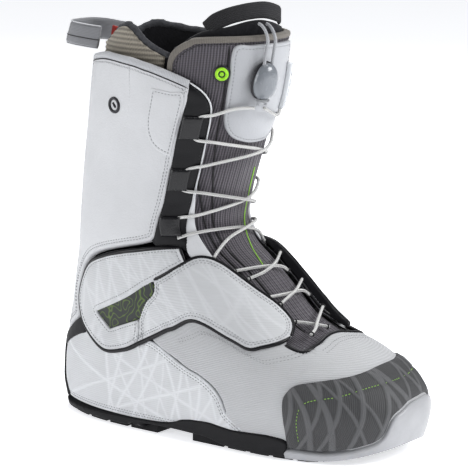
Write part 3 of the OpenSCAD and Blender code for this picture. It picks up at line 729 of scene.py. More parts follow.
LOOKS = {look.name: look.material for look in (
    rubber("outsole_rubber", (0.011, 0.011, 0.013), 0.5, specular=0.25),
    rubber("bumper_rubber", (0.36, 0.365, 0.38), 0.42, 0.05, coat=0.15, size=1.4),
    rubber("midsole_foam", (0.06, 0.06, 0.066), 0.8, 0.2),
    metal("shank_steel", (0.5, 0.51, 0.53)),
    woven("board", (0.48, 0.42, 0.32), sheen=0.0),
    fleece("footbed_foam", (0.12, 0.14, 0.11), 0.8, 0.3),
    fleece("liner_fabric", (0.012, 0.012, 0.014)),
    fleece("collar_fleece", (0.05, 0.051, 0.056), 1.6, 0.9),
    pile_knit(),
    woven("upper_textile", (0.49, 0.497, 0.51), 1.3, dark=0.83, depth=0.2),
    leather("cuff_synthetic", WHITE, 0.46),
    scratched("overlay_synthetic", PRINTED, WING_LINES, 0.9, 3.2),
    scratched("heel_synthetic", tone(PRINTED, 1.1), HEEL_LINES, 0.88, 2.0),
    toe_rubber(), window_rubber(), ribbed_tongue(),
    leather("facing_leather", BLACK, 0.34, coat=0.12, grain=1.1, spread=0.25, specular=0.25),
    woven("webbing", (0.02, 0.02, 0.023), 1.4, upright=True, dark=0.4, depth=0.35, sheen=0.05),
    leather("guide_webbing", (0.009, 0.009, 0.011), 0.28, coat=0.35, grain=1.6, depth=0.15),
    woven("dark_mesh", (0.05, 0.048, 0.055), 1.9, dark=0.3, depth=0.4),
    leather("shield_synthetic", (0.43, 0.44, 0.46), 0.4),
    woven("binding_tape", (0.2, 0.185, 0.165), 1.3, upright=True, dark=0.6),
    woven("cuff_piping", (0.5, 0.51, 0.53), 1.3, upright=True, dark=0.75),
    leather("black_piping", BLACK, 0.34, coat=0.15, spread=0.2, specular=0.3),
    rubber("badge_rubber", (0.33, 0.66, 0.03), 0.4, 0.05),
    rubber("side_badge_rubber", (0.025, 0.025, 0.03), 0.4, 0.05),
    lace_braid("lace_cord", (0.68, 0.68, 0.67)),
    lace_braid("grey_cord", (0.42, 0.43, 0.45)),
    rubber("dock_plastic", (0.58, 0.6, 0.62), 0.35, 0.04, coat=0.2),
    rubber("lock_plastic", (0.2, 0.215, 0.235), 0.24, 0.02, coat=0.5),
    woven("grey_webbing", (0.27, 0.275, 0.29), 1.1, upright=True, dark=0.74, depth=0.2),
    woven("red_tape", (0.42, 0.035, 0.025), 1.3, dark=0.6),
    woven("thread_white", (0.70, 0.71, 0.73), 0.6, dark=0.7, depth=0.05),
    woven("thread_grey", (0.30, 0.305, 0.32), 0.6, dark=0.7, depth=0.05),
    woven("thread_black", (0.02, 0.02, 0.022), 0.6, dark=0.7, depth=0.05),
    woven("thread_green", (0.33, 0.62, 0.10), 0.6, dark=0.8, depth=0.05),
)}

# ---------------------------------------------------------------- camera, floor and lights

def aim(item, target):
    item.rotation_euler = (Vector(target) - item.location).to_track_quat("-Z", "Y").to_euler()


CAMERA_PLACE, CAMERA_TARGET, CAMERA_LENS = (1.126, -1.608, 0.512), (0, 0, 0.13), 210.8
CAMERA_SHIFT = (-0.0043, 0.0438)
WORLD_GREY, WORLD_STRENGTH, FLOOR_GLOW, CONTRAST = (0.96, 0.97, 1.0), 0.24, 0.7, 0.86
# Name, place, size, power and target of each soft light, in metres and watts
LIGHTS = (("key_light", (1.5, 0.35, 1.15), 0.9, 27, (0.05, 0, 0.1)),
          ("fill_light", (-1.4, -1.5, 0.8), 1.2, 19, (-0.05, 0, 0.12)),
          ("back_light", (-0.6, 1.4, 1.3), 1.2, 8, (0, 0, 0.15)),
          ("top_light", (0.1, 0.1, 1.9), 1.0, 12, (0, 0, 0.1)))


def studio():
    """The camera at the reference angle, a plain pale floor and soft lights."""
    scene = bpy.context.scene
    camera = bpy.data.objects.new("camera", bpy.data.cameras.new("camera"))
    scene.collection.objects.link(camera)
    camera.location = CAMERA_PLACE
    aim(camera, CAMERA_TARGET)
    camera.data.lens = CAMERA_LENS
    camera.data.shift_x, camera.data.shift_y = CAMERA_SHIFT
    camera.data.clip_start = 0.05
    scene.camera = camera
    scene.view_settings.view_transform = "Standard"
    scene.view_settings.gamma = CONTRAST
    for name, where, size, power, target in LIGHTS:
        data = bpy.data.lights.new(name, "AREA")
        data.size, data.energy = size, power
        light = bpy.data.objects.new(name, data)
        scene.collection.objects.link(light)
        light.location = where
        aim(light, target)
    world = bpy.data.worlds.new("studio")
    world.use_nodes = True
    background = world.node_tree.nodes["Background"]
    background.inputs[0].default_value = (*WORLD_GREY, 1)
    background.inputs[1].default_value = WORLD_STRENGTH
    scene.world = world
    floor_look = Look("floor", 0.85, specular=0.2)
    floor_look.colour(floor_look.mix(floor_look.noise(600, 2), (0.86, 0.86, 0.87),
                                     (0.9, 0.9, 0.905)))
    floor_look.shader.inputs["Emission Color"].default_value = (0.97, 0.98, 1, 1)
    floor_look.shader.inputs["Emission Strength"].default_value = FLOOR_GLOW
    half = 6000
    floor = mesh_object("floor", [(-half, -half, 0), (half, -half, 0), (half, half, 0),
                                  (-half, half, 0)], [(0, 1, 2, 3)], floor_look.material)
    floor.location.z = cad_bounds[0][2]


studio()

# ---------------------------------------------------------------- how pieces are fitted

# The upper bends between these heights as the cuff flexes
FLEX_LOW, FLEX_HIGH = (-0.065, 0, 0.116), (-0.065, 0, 0.172)


def fit(piece, nodes=(), body=None):
    """A finished piece hides the nodes it stands for and goes to its body: the one given, else the
    boot or cuff by its heights, else none.
    """
    if nodes:
        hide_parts(*nodes)
    heights = [v.co.z for v in piece.data.vertices]
    if body:
        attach(piece, body)
    elif max(heights) < FLEX_LOW[2]:
        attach(piece, "boot")
    elif min(heights) > FLEX_HIGH[2]:
        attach(piece, "cuff")
    else:
        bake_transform(piece)
    return piece


def sewn(name, corners, look, nodes=(), slot=None, rows=(), thread="thread_grey", both=True,
         body=None, **shape):
    """A panel on the outer side, its twin on the inner side, and their rows of stitches. The slot
    argument is not used."""
    for k, (suffix, outline) in enumerate(two_sides(corners, both)):
        piece = panel(name + suffix, outline, LOOKS[look], **shape)
        mine = nodes[k::2] if both else nodes
        fit(piece, mine, body)
        loop = curve_points(outline)
        top = shape.get("base", 0) + shape.get("thick", 1.4)
        for inset in rows:
            crown = shape.get("crown", 0) * (1 - math.exp(-inset / CROWN_REACH))
            stitches(thread, shift_loop(loop, inset), top + crown - 0.06)


def round_ends(t):
    """A tube's thickness along its length, closed at both ends."""
    return np.sqrt(np.clip(np.minimum(t, 1 - t) * 40, 0.02, 1))


def piping(name, corners, radius, off, look, both=True, taper=round_ends):
    """A piped edge along the boot, on both sides or one."""
    for suffix, corners in two_sides(corners, both):
        route = curve_points(corners, False, 1.6)
        thin = taper if suffix != "_inner" else lambda t: taper(1 - t)
        fit(tube(name + suffix, place(route[:, 0], route[:, 1], off), radius, LOOKS[look],
                 taper=thin))


def seam_row(thread, corners, off, **size):
    """A row of stitches along an open line on the boot."""
    stitches(thread, curve_points(corners, False), off, closed=False, **size)

# ---------------------------------------------------------------- laces

LACE_R = 1.2
LOWER_STRANDS = (
    [(35, 122, 1), (10, 123, 1), (-8, 121, 1), (-16, 118, 0.6)],
    [(29, 118, 1.2), (14, 120, 2.8), (0, 122.5, 3.8), (-28, 125, 3.4)],
    [(24, 110, 1), (6, 110.5, 1), (-10, 110, 1), (-21, 107, 0.6)],
    [(19, 107, 1.2), (9, 109, 3), (0, 110.5, 3.8), (-29, 112, 3.4)],
    [(18, 100, 1), (8, 98, 1), (-1, 93.5, 1.4)],
    [(20, 89.5, 3.6), (12, 93, 3.4), (4, 97, 3.8), (-17, 102, 3.4)])
FLEX_STRANDS = (
    [(58.5, 142.2, 2.2), (46, 145.5, 1.8), (25, 147.5, 1.2), (0, 146, 1), (-20, 141, 1),
     (-34, 134, 0.6), (-41, 130, 0)],
    [(-58.5, 142.2, 2.2), (-46, 145.5, 1.8), (-25, 147.5, 1.8), (0, 146, 3.8), (20, 141, 2),
     (34, 134, 0.6), (41, 130, 0)])
UPPER_STRANDS = (
    [(20.5, 243, 4.8), (28, 242.5, 2.4), (36, 241, 1.4), (46, 237.5, 1.6), (56, 234.5, 2.2),
     (56, 220, 2.2), (40, 216, 1.4), (0, 208, 1), (-40, 200, 1.4), (-57, 195.5, 2.2),
     (-57, 181, 2.2), (-40, 177, 1.4), (0, 168.5, 1), (40, 160, 1.4), (58.5, 156.5, 2.2),
     (58.5, 144.8, 2.2)],
    [(12.5, 242.5, 4.8), (4, 238, 2.6), (-8, 233, 1.6), (-40, 233, 1.6), (-56, 234.5, 2.2),
     (-56, 220, 2.2), (-40, 216, 1.4), (0, 208, 3.8), (40, 200, 1.4), (57, 195.5, 2.2),
     (57, 181, 2.2), (40, 177, 1.4), (0, 168.5, 3.8), (-40, 160, 1.4), (-58.5, 156.5, 2.2),
     (-58.5, 144.8, 2.2)])
LOCK_LEAN, LOCK_TURN, LOCK_PLACE = 10.5, -18, np.array([38, -18, 262])
LOCK_HALF_W, LOCK_HALF_H = 10, 13.5
LOCK_LACE_Y, LACE_REACH, LACE_START = 3.4, 29, 17.5


def lock_frame(points):
    """Points in the lock's own axes, moved to its place."""
    turn, lean = math.radians(LOCK_TURN), math.radians(LOCK_LEAN)
    spin = np.array([[math.cos(turn), -math.sin(turn), 0], [math.sin(turn), math.cos(turn), 0],
                     [0, 0, 1]])
    tilt = np.array([[math.cos(lean), 0, math.sin(lean)], [0, 1, 0],
                     [-math.sin(lean), 0, math.cos(lean)]])
    return np.asarray(points, float) @ (tilt @ spin).T + LOCK_PLACE


def smooth_route(points, each=8):
    """More points on a smooth curve through a few."""
    p = np.asarray(points, float)
    before, after = np.vstack([2 * p[0] - p[1], p[:-2]]), np.vstack([p[2:], 2 * p[-1] - p[-2]])
    made = []
    for k in range(len(p) - 1):
        for t in np.arange(each) / each:
            made.append(0.5 * (2 * p[k] + (p[k + 1] - before[k]) * t
                        + (2 * before[k] - 5 * p[k] + 4 * p[k + 1] - after[k]) * t * t
                        + (3 * p[k] - before[k] - 3 * p[k + 1] + after[k]) * t ** 3))
    return np.array(made + [p[-1]])


def laces():
    for node, strands in (("lower_lace", LOWER_STRANDS), ("flex_lace", FLEX_STRANDS),
                          ("upper_lace", UPPER_STRANDS)):
        for k, route in enumerate(strands):
            r = np.array(route, float)
            corners = place(r[:, 0], r[:, 1], r[:, 2])
            fit(tube(f"{node}_strand_{k + 1}", smooth_route(corners), LACE_R,
                     LOOKS["lace_cord"], 10), (node,) if k == 0 else ())
    for side, y in (("outer", -LOCK_LACE_Y), ("inner", LOCK_LACE_Y)):
        route = [(0, y, -LACE_START), (0, y, 0), (0, y, LACE_REACH - 4), (0, y, LACE_REACH),
                 (-2, y, LACE_REACH + 4), (-6, y, LACE_REACH + 7.5),
                 (-10, y, LACE_REACH + 9.2), (-13, y, LACE_REACH + 9.5)]
        fit(tube("loop_lace_" + side, lock_frame(smooth_route(route)), LACE_R,
                 LOOKS["grey_cord"], 10),
            ("loop_lace",) if side == "outer" else (), "cuff")


laces()

# ---------------------------------------------------------------- sole, toe and heel

BUMPER_EDGE = [(-45, 9.5), (-30, 18), (-24, 34), (-14, 42.5), (0, 43), (9, 38.5), (16, 33),
               (20, 20), (30, 14), (45, 9.5)]


def sole():
    sewn("sole_strip", [(62, 14), (69, 17), (81, 16), (88, 18), (92, 16), (95, 12), (102, 10),
                        (122, 8.5), (150, 8.5), (180, 8.5), (210, 8.5), (238, 8.5), (258, 10),
                        (265, 12), (268, 16), (272, 18), (279, 16), (291, 17), (298, 14),
                        (298, 2, 1), (279, 2), (272, 6), (265, 7), (257, 6), (250, 2.5),
                        (180, 2), (110, 2.5), (103, 6), (95, 7), (88, 6), (81, 2), (62, 2, 1)],
         "outsole_rubber", ("sole_rand",), both=False, base=-2.7, thick=5.1,
         roll=1.6, cell=4, under=0.2)
    bottom = whole([(62, 1.5, 1), (45, 2.5), (30, 6), (15, 10), (0, 12)])
    sewn("toe_bumper_moulding", [(-62, 9)] + BUMPER_EDGE + [(62, 9)] + bottom,
         "bumper_rubber", ("toe_bumper",), both=False, base=-2.6, thick=5.2,
         roll=1.8, cell=3, under=0.2)


# Height of the toe's bands and depth of its sewn line
BAND_HEIGHT, LINE_DEPTH = 0.75, 0.7
GREEN_LINE = [(57.5, 13), (59.5, 31), (55, 44), (40, 50), (22, 55.5), (0, 57.5), (-22, 57.5),
              (-40, 51), (-56, 44), (-60, 31), (-58, 13)]


def toe_relief(points, uv, d):
    """Raised bands that fade at the edge, and a dip along the green stitches."""
    calm = np.clip((d - 2.5) / 2, 0, 1)
    line = edge_distance(points, [curve_points(GREEN_LINE, False, 1.0)])
    return (calm * (BAND_HEIGHT * stripe_field(uv, TOE_LINES))
            - LINE_DEPTH * np.exp(-(line / 1.1) ** 2))


def toe_cap():
    top = [(62, 12), (64.5, 30), (64, 42), (61, 50), (55, 56), (42, 60), (25, 63), (6, 66),
           (-8, 66.5), (-23, 66), (-42, 62), (-55, 56), (-61, 50), (-64, 42), (-64.5, 30),
           (-62, 12)]
    edge = [(a, h + 1.0) for a, h in BUMPER_EDGE]
    sewn("toe_cap_rubber", top + [(-60, 10)] + edge + [(60, 10)], "toe_rubber",
         ("toe_cap",), both=False, base=0.1, thick=1.7, roll=1.2, cell=1.7, under=0.6,
         relief=toe_relief, level=36)
    route = curve_points(GREEN_LINE, False, 1.0)
    stitches("thread_green", route, 1.35, closed=False, pitch=2.5, length=1.8, radius=0.3)


def vamp():
    half = [(0, 90.5), (10, 89), (25, 83.5), (34, 79.5), (39, 79), (41, 84), (35, 92), (50, 100),
            (80, 100), (99, 76), (92, 58), (86, 44), (83.5, 28), (82, 9.5), (60, 9.5), (45, 10),
            (25, 12)]
    outline = half + [(0, 14)] + [(-a, h) for a, h in half[:0:-1]]
    sewn("vamp_skin", outline, "upper_textile", ("vamp",), both=False,
         base=-2.2, thick=2.4, roll=1.2, crown=0.3, cell=3.2, under=0.3)
    lip = whole([(41, 84.5), (39, 79.5), (34, 79.5), (25, 83.5), (10, 89), (0, 90.5)])
    piping("throat_binding", lip, 1.5, -0.3, "black_piping", both=False)
    for inset in (4.0, 6.0):
        seam_row("thread_grey", [(a, h - inset) for a, h in lip[3:-3]], 0.45)
        for side in (1, -1):
            below = [(side * a, h - inset) for a, h in
                     ((32, 86), (42, 81), (55, 76), (62, 73.5), (67, 78), (71.5, 87), (77, 91),
                      (84, 85.5), (90, 79))]
            seam_row("thread_grey", below, 0.4)


def heel():
    quarter = [(82, 9.5), (83.5, 28), (86, 44), (92, 58), (99, 70), (106, 70), (124, 68),
               (140, 70), (150, 61), (163, 50), (163.5, 30), (157, 9.5, 1)]
    sewn("heel_quarter", quarter, "heel_synthetic", ("heel_cup", "heel_counter"),
         "overlay_synthetic", base=-2.2, thick=2.5, roll=1.3, crown=0.8,
         cell=3.2, under=0.3, groove=(3.2, 0.25), rows=(3.2, 5.0), level=40)
    sewn("heel_rubber", [(155, 9.5), (163, 30), (164.5, 49), (180, 46), (195.5, 49), (197, 30),
                         (205, 9.5)], "outsole_rubber", ("heel_rand",),
         both=False, base=-1.5, thick=3.4, roll=1.6, under=0.3)
    sewn("heel_strap", [(135, 74.5), (140, 74.5), (152, 65), (164, 57), (180, 54), (196, 57),
                        (208, 65), (220, 74.5), (225, 74.5), (226, 65), (220, 61), (208, 54),
                        (196, 47), (180, 44), (164, 47), (152, 54), (140, 61), (134, 65)],
         "outsole_rubber", ("heel_band",), both=False, base=-0.6, thick=2.3,
         crown=0.3, roll=1.0)


sole()
toe_cap()
vamp()
heel()

# ---------------------------------------------------------------- side panels

SIDE_LOOP = [(60, 136), (70, 135.5), (81, 134), (96, 130.5), (111, 126), (127, 118.5), (137, 106),
             (143, 90), (139, 75), (131, 64), (121, 55.5), (112, 58.5), (105, 65), (96, 75),
             (85, 89), (77, 95), (71, 92), (66.5, 83), (63, 77), (55, 80), (42, 85.5), (31, 91)]
WING_EDGE = [(86, 115), (68, 124), (54, 129.5), (45, 129.5), (39, 126), (35, 121.5), (28, 114),
             (20, 107), (18.5, 101.5), (23, 96.5), (31, 91)]
SEAM = [(105, 65), (102.5, 76), (100, 87), (94, 100), (88, 109)]


def side_panels():
    wing = [(86, 114.5, 1)] + WING_EDGE[1:] + SIDE_LOOP[-2:11:-1] + SEAM[:-1] + [(88.5, 108)]
    sewn("wing_panel", wing, "overlay_synthetic",
         ("wing_panel_outer", "wing_panel_inner"), base=0.0, thick=1.7, roll=1.2, crown=0.9,
         groove=(3.4, 0.3), rows=(2.9, 4.6), under=0.6, level=100)
    window = [(100, 87, 1), (117, 72.5, 1), (125, 84, 1), (87.5, 113.5, 1)]
    ankle = [(60, 135.5, 1)] + SIDE_LOOP[1:12] + [(105, 65.5, 1), (102.5, 76), (100.5, 86, 1)] \
        + window[1:] + [(75, 120.5), (68, 123.5), (62, 126.5, 1)]
    sewn("ankle_panel", ankle, "overlay_synthetic",
         ("ankle_panel_outer", "ankle_panel_inner"), base=0.0, thick=1.9, roll=1.2, crown=0.7,
         groove=(3.2, 0.25), rows=(3.2,), under=0.6, level=100)
    glass = [(99, 88, 1), (117, 71, 1), (126, 84, 1), (87, 115, 1), (88, 109), (94, 100)]
    sewn("ankle_window", glass, "window_rubber",
         ("ankle_window_outer", "ankle_window_inner"), base=0.0, thick=0.7, roll=0.6, cell=2.0,
         under=0.5)
    swell = lambda t: round_ends(t) * (0.72 + 0.28 * np.cos(2 * math.pi * (t - 0.62)) ** 2)
    piping("side_piping", SIDE_LOOP, 1.75, 0.9, "black_piping", taper=swell)
    piping("wing_piping", WING_EDGE, 1.25, 1.1, "black_piping")
    piping("link_piping", [(59.5, 136), (60.5, 131), (62.5, 126.5)], 1.0, 1.0, "black_piping")


def keepers():
    """Cord rings at the throat's edges, which hold the ends of the lower strands."""
    ring_r, cord_r, from_end = 1.7, 0.45, 1.2
    turns = np.arange(20) * math.pi / 10
    for k, strand in enumerate(LOWER_STRANDS):
        spots = [place(*p) for p in strand]
        for word, p, q in (("outer", spots[0], spots[1]), ("inner", spots[-1], spots[-2])):
            along = (q - p) / np.linalg.norm(q - p)
            side = np.cross(along, (0, 0, 1.0))
            side /= np.linalg.norm(side)
            up = np.cross(side, along)
            ring = [p + from_end * along + ring_r * (math.cos(t) * side + math.sin(t) * up)
                    for t in turns]
            fit(tube(f"lace_keeper_{word}_{k + 1}", ring, cord_r, LOOKS["thread_black"], 8, True),
                ("lace_keepers",) if k == 0 and word == "outer" else (), "boot")


def throat_flap():
    """The black padded edge that stands up along the inner side of the throat."""
    edge = [(-22, 88), (-20, 95), (-22, 104), (-25, 113), (-27, 121), (-32, 130)]
    outer = [(-46, 134), (-48, 124), (-46, 115), (-42, 106), (-40, 98), (-36, 89)]

    rise, outer_edge, foot, fade = 4.6, -44, 86, 16

    def stand(points, uv, d):
        slope = (np.clip((points[:, 0] - outer_edge) / fade, 0, 1)
                 * np.clip((points[:, 1] - foot) / fade, 0, 1))
        return rise * slope * np.clip(d / 1.5, 0, 1)
    sewn("throat_flap", edge + outer, "facing_leather", ("eyestay_inner",),
         both=False, base=1.2, thick=2.2, crown=0.4, roll=1.4, body="boot",
         relief=stand)


side_panels()
keepers()
throat_flap()


# ---------------------------------------------------------------- cuff

CUFF_RIM = [(65, 260), (72, 263.5), (80, 267), (90, 271), (100, 274), (122, 276), (150, 271),
            (180, 269)]


def cuff():
    front = [(65, 259), (64.5, 250), (65.5, 235), (66.5, 215), (66.5, 190), (68, 165),
             (71, 149), (75, 141.5), (82, 138.5), (96, 134.5), (113, 129.5), (127, 123),
             (138, 112), (147, 93), (144, 76), (153, 67), (166, 58)]
    back = [(172, 70), (173, 120), (173, 200), (172, 262, 1)]
    top = [(a, h - 0.5) for a, h in CUFF_RIM[6:0:-1]]
    sewn("cuff_shell", front + back + top, "cuff_synthetic",
         ("cuff_panel_outer", "cuff_panel_inner"), base=-1.8, thick=3.0, roll=1.5, crown=0.7,
         cell=3.6, groove=(3.4, 0.25), rows=(3.2, 5.1), under=0.6)
    sewn("back_stay_panel", [(168, 60), (170, 120), (170, 200), (169, 266), (180, 268),
                             (191, 266), (190, 200), (190, 120), (192, 60), (180, 55)],
         "upper_textile", ("back_stay", "ankle_gusset"), both=False, base=-0.6,
         thick=2.4, crown=0.4, groove=(3, 0.25), rows=(3,))
    sewn("back_patch", [(160, 259), (180, 261), (200, 259), (202, 242), (180, 235), (158, 242)],
         "facing_leather", ("back_tab",), "outsole_rubber", both=False, base=1.0, thick=1.4,
         crown=0.3, rows=(2.6,))
    rim = CUFF_RIM + [(360 - a, h) for a, h in CUFF_RIM[-2::-1]]
    binding = sleeve("rim_binding", 65, 295, lambda a: rim_section(a, rim),
                     LOOKS["cuff_piping"])
    fit(binding, ("cuff_binding",))
    # Painted shadow: a thin black cord along the groove below the rim binding stands in for the
    # groove's shade.
    piping("rim_groove_shadow_cord", [(a, h - 3.4) for a, h in rim], 0.5, 1.2, "black_piping",
           both=False)
    seam_row("thread_grey", [(a, h - 6.2) for a, h in rim], 1.35)
    seam = [(100, 270), (97.5, 243), (98.5, 222), (106, 204), (131, 172)]
    for side in (1, -1):
        seam_row("thread_white", [(side * a, h) for a, h in seam], 1.75, pitch=2.4, radius=0.26)
    sewn("stash_pocket_flap", [(67.5, 252), (76, 254), (86.5, 256, 1), (87, 232), (84, 218),
                               (78, 210), (68.5, 205, 1), (67.5, 230)],
         "cuff_synthetic", ("stash_pocket",), both=False, base=1.2,
         thick=0.9, crown=0.3, groove=(2.4, 0.2), rows=(2.4,), under=0.5)


def rim_section(angle, rim):
    height = np.interp(angle, [a for a, _ in rim], [h for _, h in rim])
    return [(height - 3.0, 1.3), (height, 1.5), (height + 1.8, 0.6), (height + 2.4, -0.9),
            (height + 1.8, -2.4), (height - 0.4, -3.0), (height - 3.0, -2.9)]


def local_axes(angle, height, off):
    """A point on the boot with unit vectors round it, up it and out of it."""
    at = np.array([angle]), np.array([height])
    along, _, out = (v[0] / np.linalg.norm(v[0]) for v in tangents(*at))
    return place(*at, off)[0], along, np.cross(along, out), out


def emblem():
    """A plain ring and bar where the side badge sits."""
    centre, along, up, _ = local_axes(108.0, 240.0, 1.95)
    ring = [centre + 5.0 * (math.cos(t) * along + math.sin(t) * up)
            for t in np.arange(32) * math.pi / 16]
    bar = [centre + t * (0.6 * along + 0.8 * up) for t in np.linspace(-2.4, 2.4, 9)]
    rubber_look = LOOKS["side_badge_rubber"]
    fit(tube("side_badge_ring", ring, 1.1, rubber_look, closed=True),
        ("side_badge",), "cuff")
    fit(tube("side_badge_bar", bar, 0.9, rubber_look, taper=round_ends),
        (), "cuff")


GUIDES = ((52.6, 65.5, 219, 236.5), (53.6, 66.5, 179.5, 197), (54.8, 69, 143, 159))


def facings():
    edge = [(48, 172), (47.3, 196), (47.3, 216), (48, 234), (50, 245), (56, 254), (65, 261)]
    outline = edge + [(70, 256), (70, 190), (72, 160), (77, 143), (76, 136, 1), (60, 135.5),
                      (53, 130), (48, 132), (46, 145)]
    bulge, first_guide, guide_gap = 1.1, 131, 38.5

    def quilt(points, uv, d):
        swell = np.abs(np.sin(math.pi * (points[:, 1] - first_guide) / guide_gap)) ** 0.6
        return bulge * swell * np.clip((d - 2.6) / 3, 0, 1)
    sewn("facing", outline, "facing_leather",
         ("facing_outer", "facing_inner"), base=-2.6, thick=2.6, crown=0.4, roll=1.2,
         rows=(2.2,), thread="thread_black", under=0.3, relief=quilt)
    piping("facing_edge", edge, 0.65, 0.1, "thread_white")
    sewn("facing_strip", [(47.2, 190), (49, 166), (52, 146), (56.5, 131), (49, 128), (41, 131),
                          (43.5, 150), (46, 172)], "cuff_synthetic",
         base=-0.6, thick=1.6, crown=0.5, roll=1.0)
    for k, (a0, a1, h0, h1) in enumerate(GUIDES):
        box = [(a0, h0, 1), (a1, h0, 1), (a1, h1, 1), (a0, h1, 1)]
        sewn(f"lace_guide_{k + 1}", box, "guide_webbing",
             ("lace_guides", "lace_guides") if k == 0 else (), "webbing", base=0.9, thick=3.2,
             crown=1.0, roll=1.1, cell=2, rows=(1.8,), thread="thread_black")


cuff()
emblem()
facings()

# ---------------------------------------------------------------- tongue

def tongue():
    outline = [(-36, 77), (-18, 80), (0, 82), (18, 80), (37, 76.5), (42, 90), (46, 108),
               (56, 124), (63, 150), (66, 200), (80, 250), (80, 275), (77, 281.5), (70, 287),
               (58, 290), (0, 290), (-58, 290), (-70, 287), (-77, 281.5), (-80, 275),
               (-80, 250), (-66, 200), (-63, 150), (-50, 124), (-43, 108), (-40, 90)]
    seams = [curve_points(c, False, 1.0) for c in TONGUE_SEAMS]

    rib_height, rib_pitch, seam_depth, seam_reach = 0.28, 4.6, 1.1, 1.3

    def relief(points, uv, d):
        rib = rib_height * np.cos(uv[:, 0] * 2 * math.pi / rib_pitch)
        return rib - seam_depth * np.exp(-(edge_distance(points, seams) / seam_reach) ** 2)
    sewn("tongue_body", outline, "tongue_knit",
         ("lower_tongue", "flex_tongue", "upper_tongue"), both=False, base=-6.6, thick=2.8,
         crown=0.3, cell=2.3, relief=relief, under=0.2)
    for k, seam in enumerate(TONGUE_SEAMS):
        piping(f"tongue_seam_{k + 1}", seam, 0.55, -3.9, "thread_black",
               both=False)
    piping("tongue_green_line", [(-8, 192), (-9.5, 172), (-10, 158), (-6, 143), (4, 124)], 0.55,
           -3.3, "thread_green", both=False)


TONGUE_SEAMS = (
    [(41, 286), (41, 250), (40, 226), (37, 200), (32, 175), (27, 150), (20, 122), (14, 96)],
    [(50, 200), (44, 178), (37, 158), (32, 140), (28, 118)])
SHIELD = [(38, 286), (25, 287.5), (8, 287.5), (-22, 287, 1), (-25, 250), (-24, 222), (-16, 215),
          (-8, 212.5), (4, 212), (16, 213.5), (28, 218), (36, 227), (39, 240), (39.5, 264)]


def tongue_top():
    sewn("tongue_shield_panel", SHIELD, "shield_synthetic",
         ("tongue_shield",), both=False, base=-3.6, thick=1.9, crown=0.9, roll=1.2,
         groove=(2.8, 0.25), rows=(2.8,), thread="thread_grey", under=0.3)
    outer = whole([(80, 262), (80.6, 276), (77.5, 284), (70, 289.8), (58, 293), (0, 293.5)])
    inner = whole([(0, 289), (57, 288.4), (67, 285.5), (73, 281), (76.5, 274), (76.5, 263)],
                  True)
    sewn("tongue_binding_tape", outer + inner, "binding_tape",
         ("tongue_binding",), both=False, base=-7.1, thick=4.5, roll=1.3, crown=0.4, cell=2.4,
         under=0.2)
    seam_row("thread_black", [(a * 0.985, h - 0.6) for a, h in inner[::-1]], -3.3, radius=0.3)
    dock = [(-30, 240, 1), (-15, 236, 1), (-15, 272, 1), (-30, 270, 1)]
    slots = [(240 + 7.5 * k, 243.2 + 7.5 * k) for k in range(4)]
    holes = [[(-26.5, a, 1), (-18.5, a, 1), (-18.5, b, 1), (-26.5, b, 1)] for a, b in slots]
    sewn("lace_dock_plate", dock, "dock_plastic", ("lace_dock",), both=False,
         base=-0.6, thick=3.0, roll=1.2, cell=1.8, holes=holes, under=0.4)


def badge():
    """A black roundel with a lime ring and dot."""
    centre, along, up, out = local_axes(45.0, 267.0, -3.0)
    profile = [(3.4, 1.0), (5.4, 0.8), (6.1, 0.2), (6.1, -1.0)]
    turns = np.arange(28) * 2 * math.pi / 28
    points = [centre + r * (math.cos(t) * along + math.sin(t) * up) + z * out
              for r, z in profile for t in turns]
    fit(mesh_object("tongue_badge_disc", points, loft(4, 28), LOOKS["side_badge_rubber"]),
        (), "cuff")
    for name, r, thick in (("tongue_badge_ring", 3.7, 1.25), ("tongue_badge_dot", 0.8, 0.9)):
        ring = [centre + 0.95 * out + r * (math.cos(t) * along + math.sin(t) * up) for t in turns]
        fit(tube(name, ring, thick, LOOKS["badge_rubber"], 8, True),
            ("tongue_badge",) if r > 2 else (), "cuff")


def lock():
    """The lace lock: an egg-shaped glossy shell on a dark base, with a small knob below."""
    knob = [(x, y, -LOCK_HALF_H - 0.6) for x, y in
            ((1.5 * math.cos(t * math.pi / 10) + 0.6, 4.4 * math.sin(t * math.pi / 10))
             for t in range(20))]
    fit(tube("lace_lock_tail", lock_frame(knob), 1.3, LOOKS["grey_cord"], 8, True),
        (), "lock")
    for name, profile, look in (
            ("lace_lock_shell", ((-1.2, 0.93), (-0.4, 1.0), (1.0, 0.99), (2.8, 0.92), (4.4, 0.78),
                                 (5.4, 0.58), (6.0, 0.34), (6.2, 0.1)), "lock_plastic"),
            ("lace_lock_base", ((-4, 0.82), (-3.6, 0.98), (-2.6, 1.05), (-1.3, 1.02)),
             "side_badge_rubber")):
        turns = np.arange(40) * 2 * math.pi / 40
        rings = []
        for x, k in profile:
            c, s = np.cos(turns), np.sin(turns)
            y = LOCK_HALF_W * k * np.sign(c) * np.abs(c) ** 0.9 * (1 - 0.1 * s)
            rings += list(zip(np.full(40, x), y, LOCK_HALF_H * k * s))
        faces = loft(len(profile), 40)
        fit(mesh_object(name, lock_frame(rings), faces, LOOKS[look]),
            ("lace_lock",) if "shell" in name else (), "lock")


tongue()
tongue_top()
badge()
lock()

# ---------------------------------------------------------------- liner

LINER_TOP = [(81, 273.5), (92, 279.5), (103, 287.5), (112, 296.5), (122, 294), (135, 285),
             (147, 281), (180, 281), (200, 286), (213, 290.5), (235, 286), (248, 284.5),
             (265, 280), (279, 275)]
LINER_TONGUE_TOP = [(-78, 282), (-70, 288), (-60, 293), (-20, 295.5), (-10, 297.5), (0, 300),
                    (12, 302.5), (25, 302), (36, 299.5), (44, 297.5), (54, 296.5), (63, 294.5),
                    (72, 288.5), (78, 282)]
LINER_IN, LINER_OUT = -13.2, -8.6


def rim_height(angle, rim):
    return np.mean([np.interp(angle + turn, [a for a, _ in rim], [h for _, h in rim])
                    for turn in (-5, -2.5, 0, 2.5, 5)])


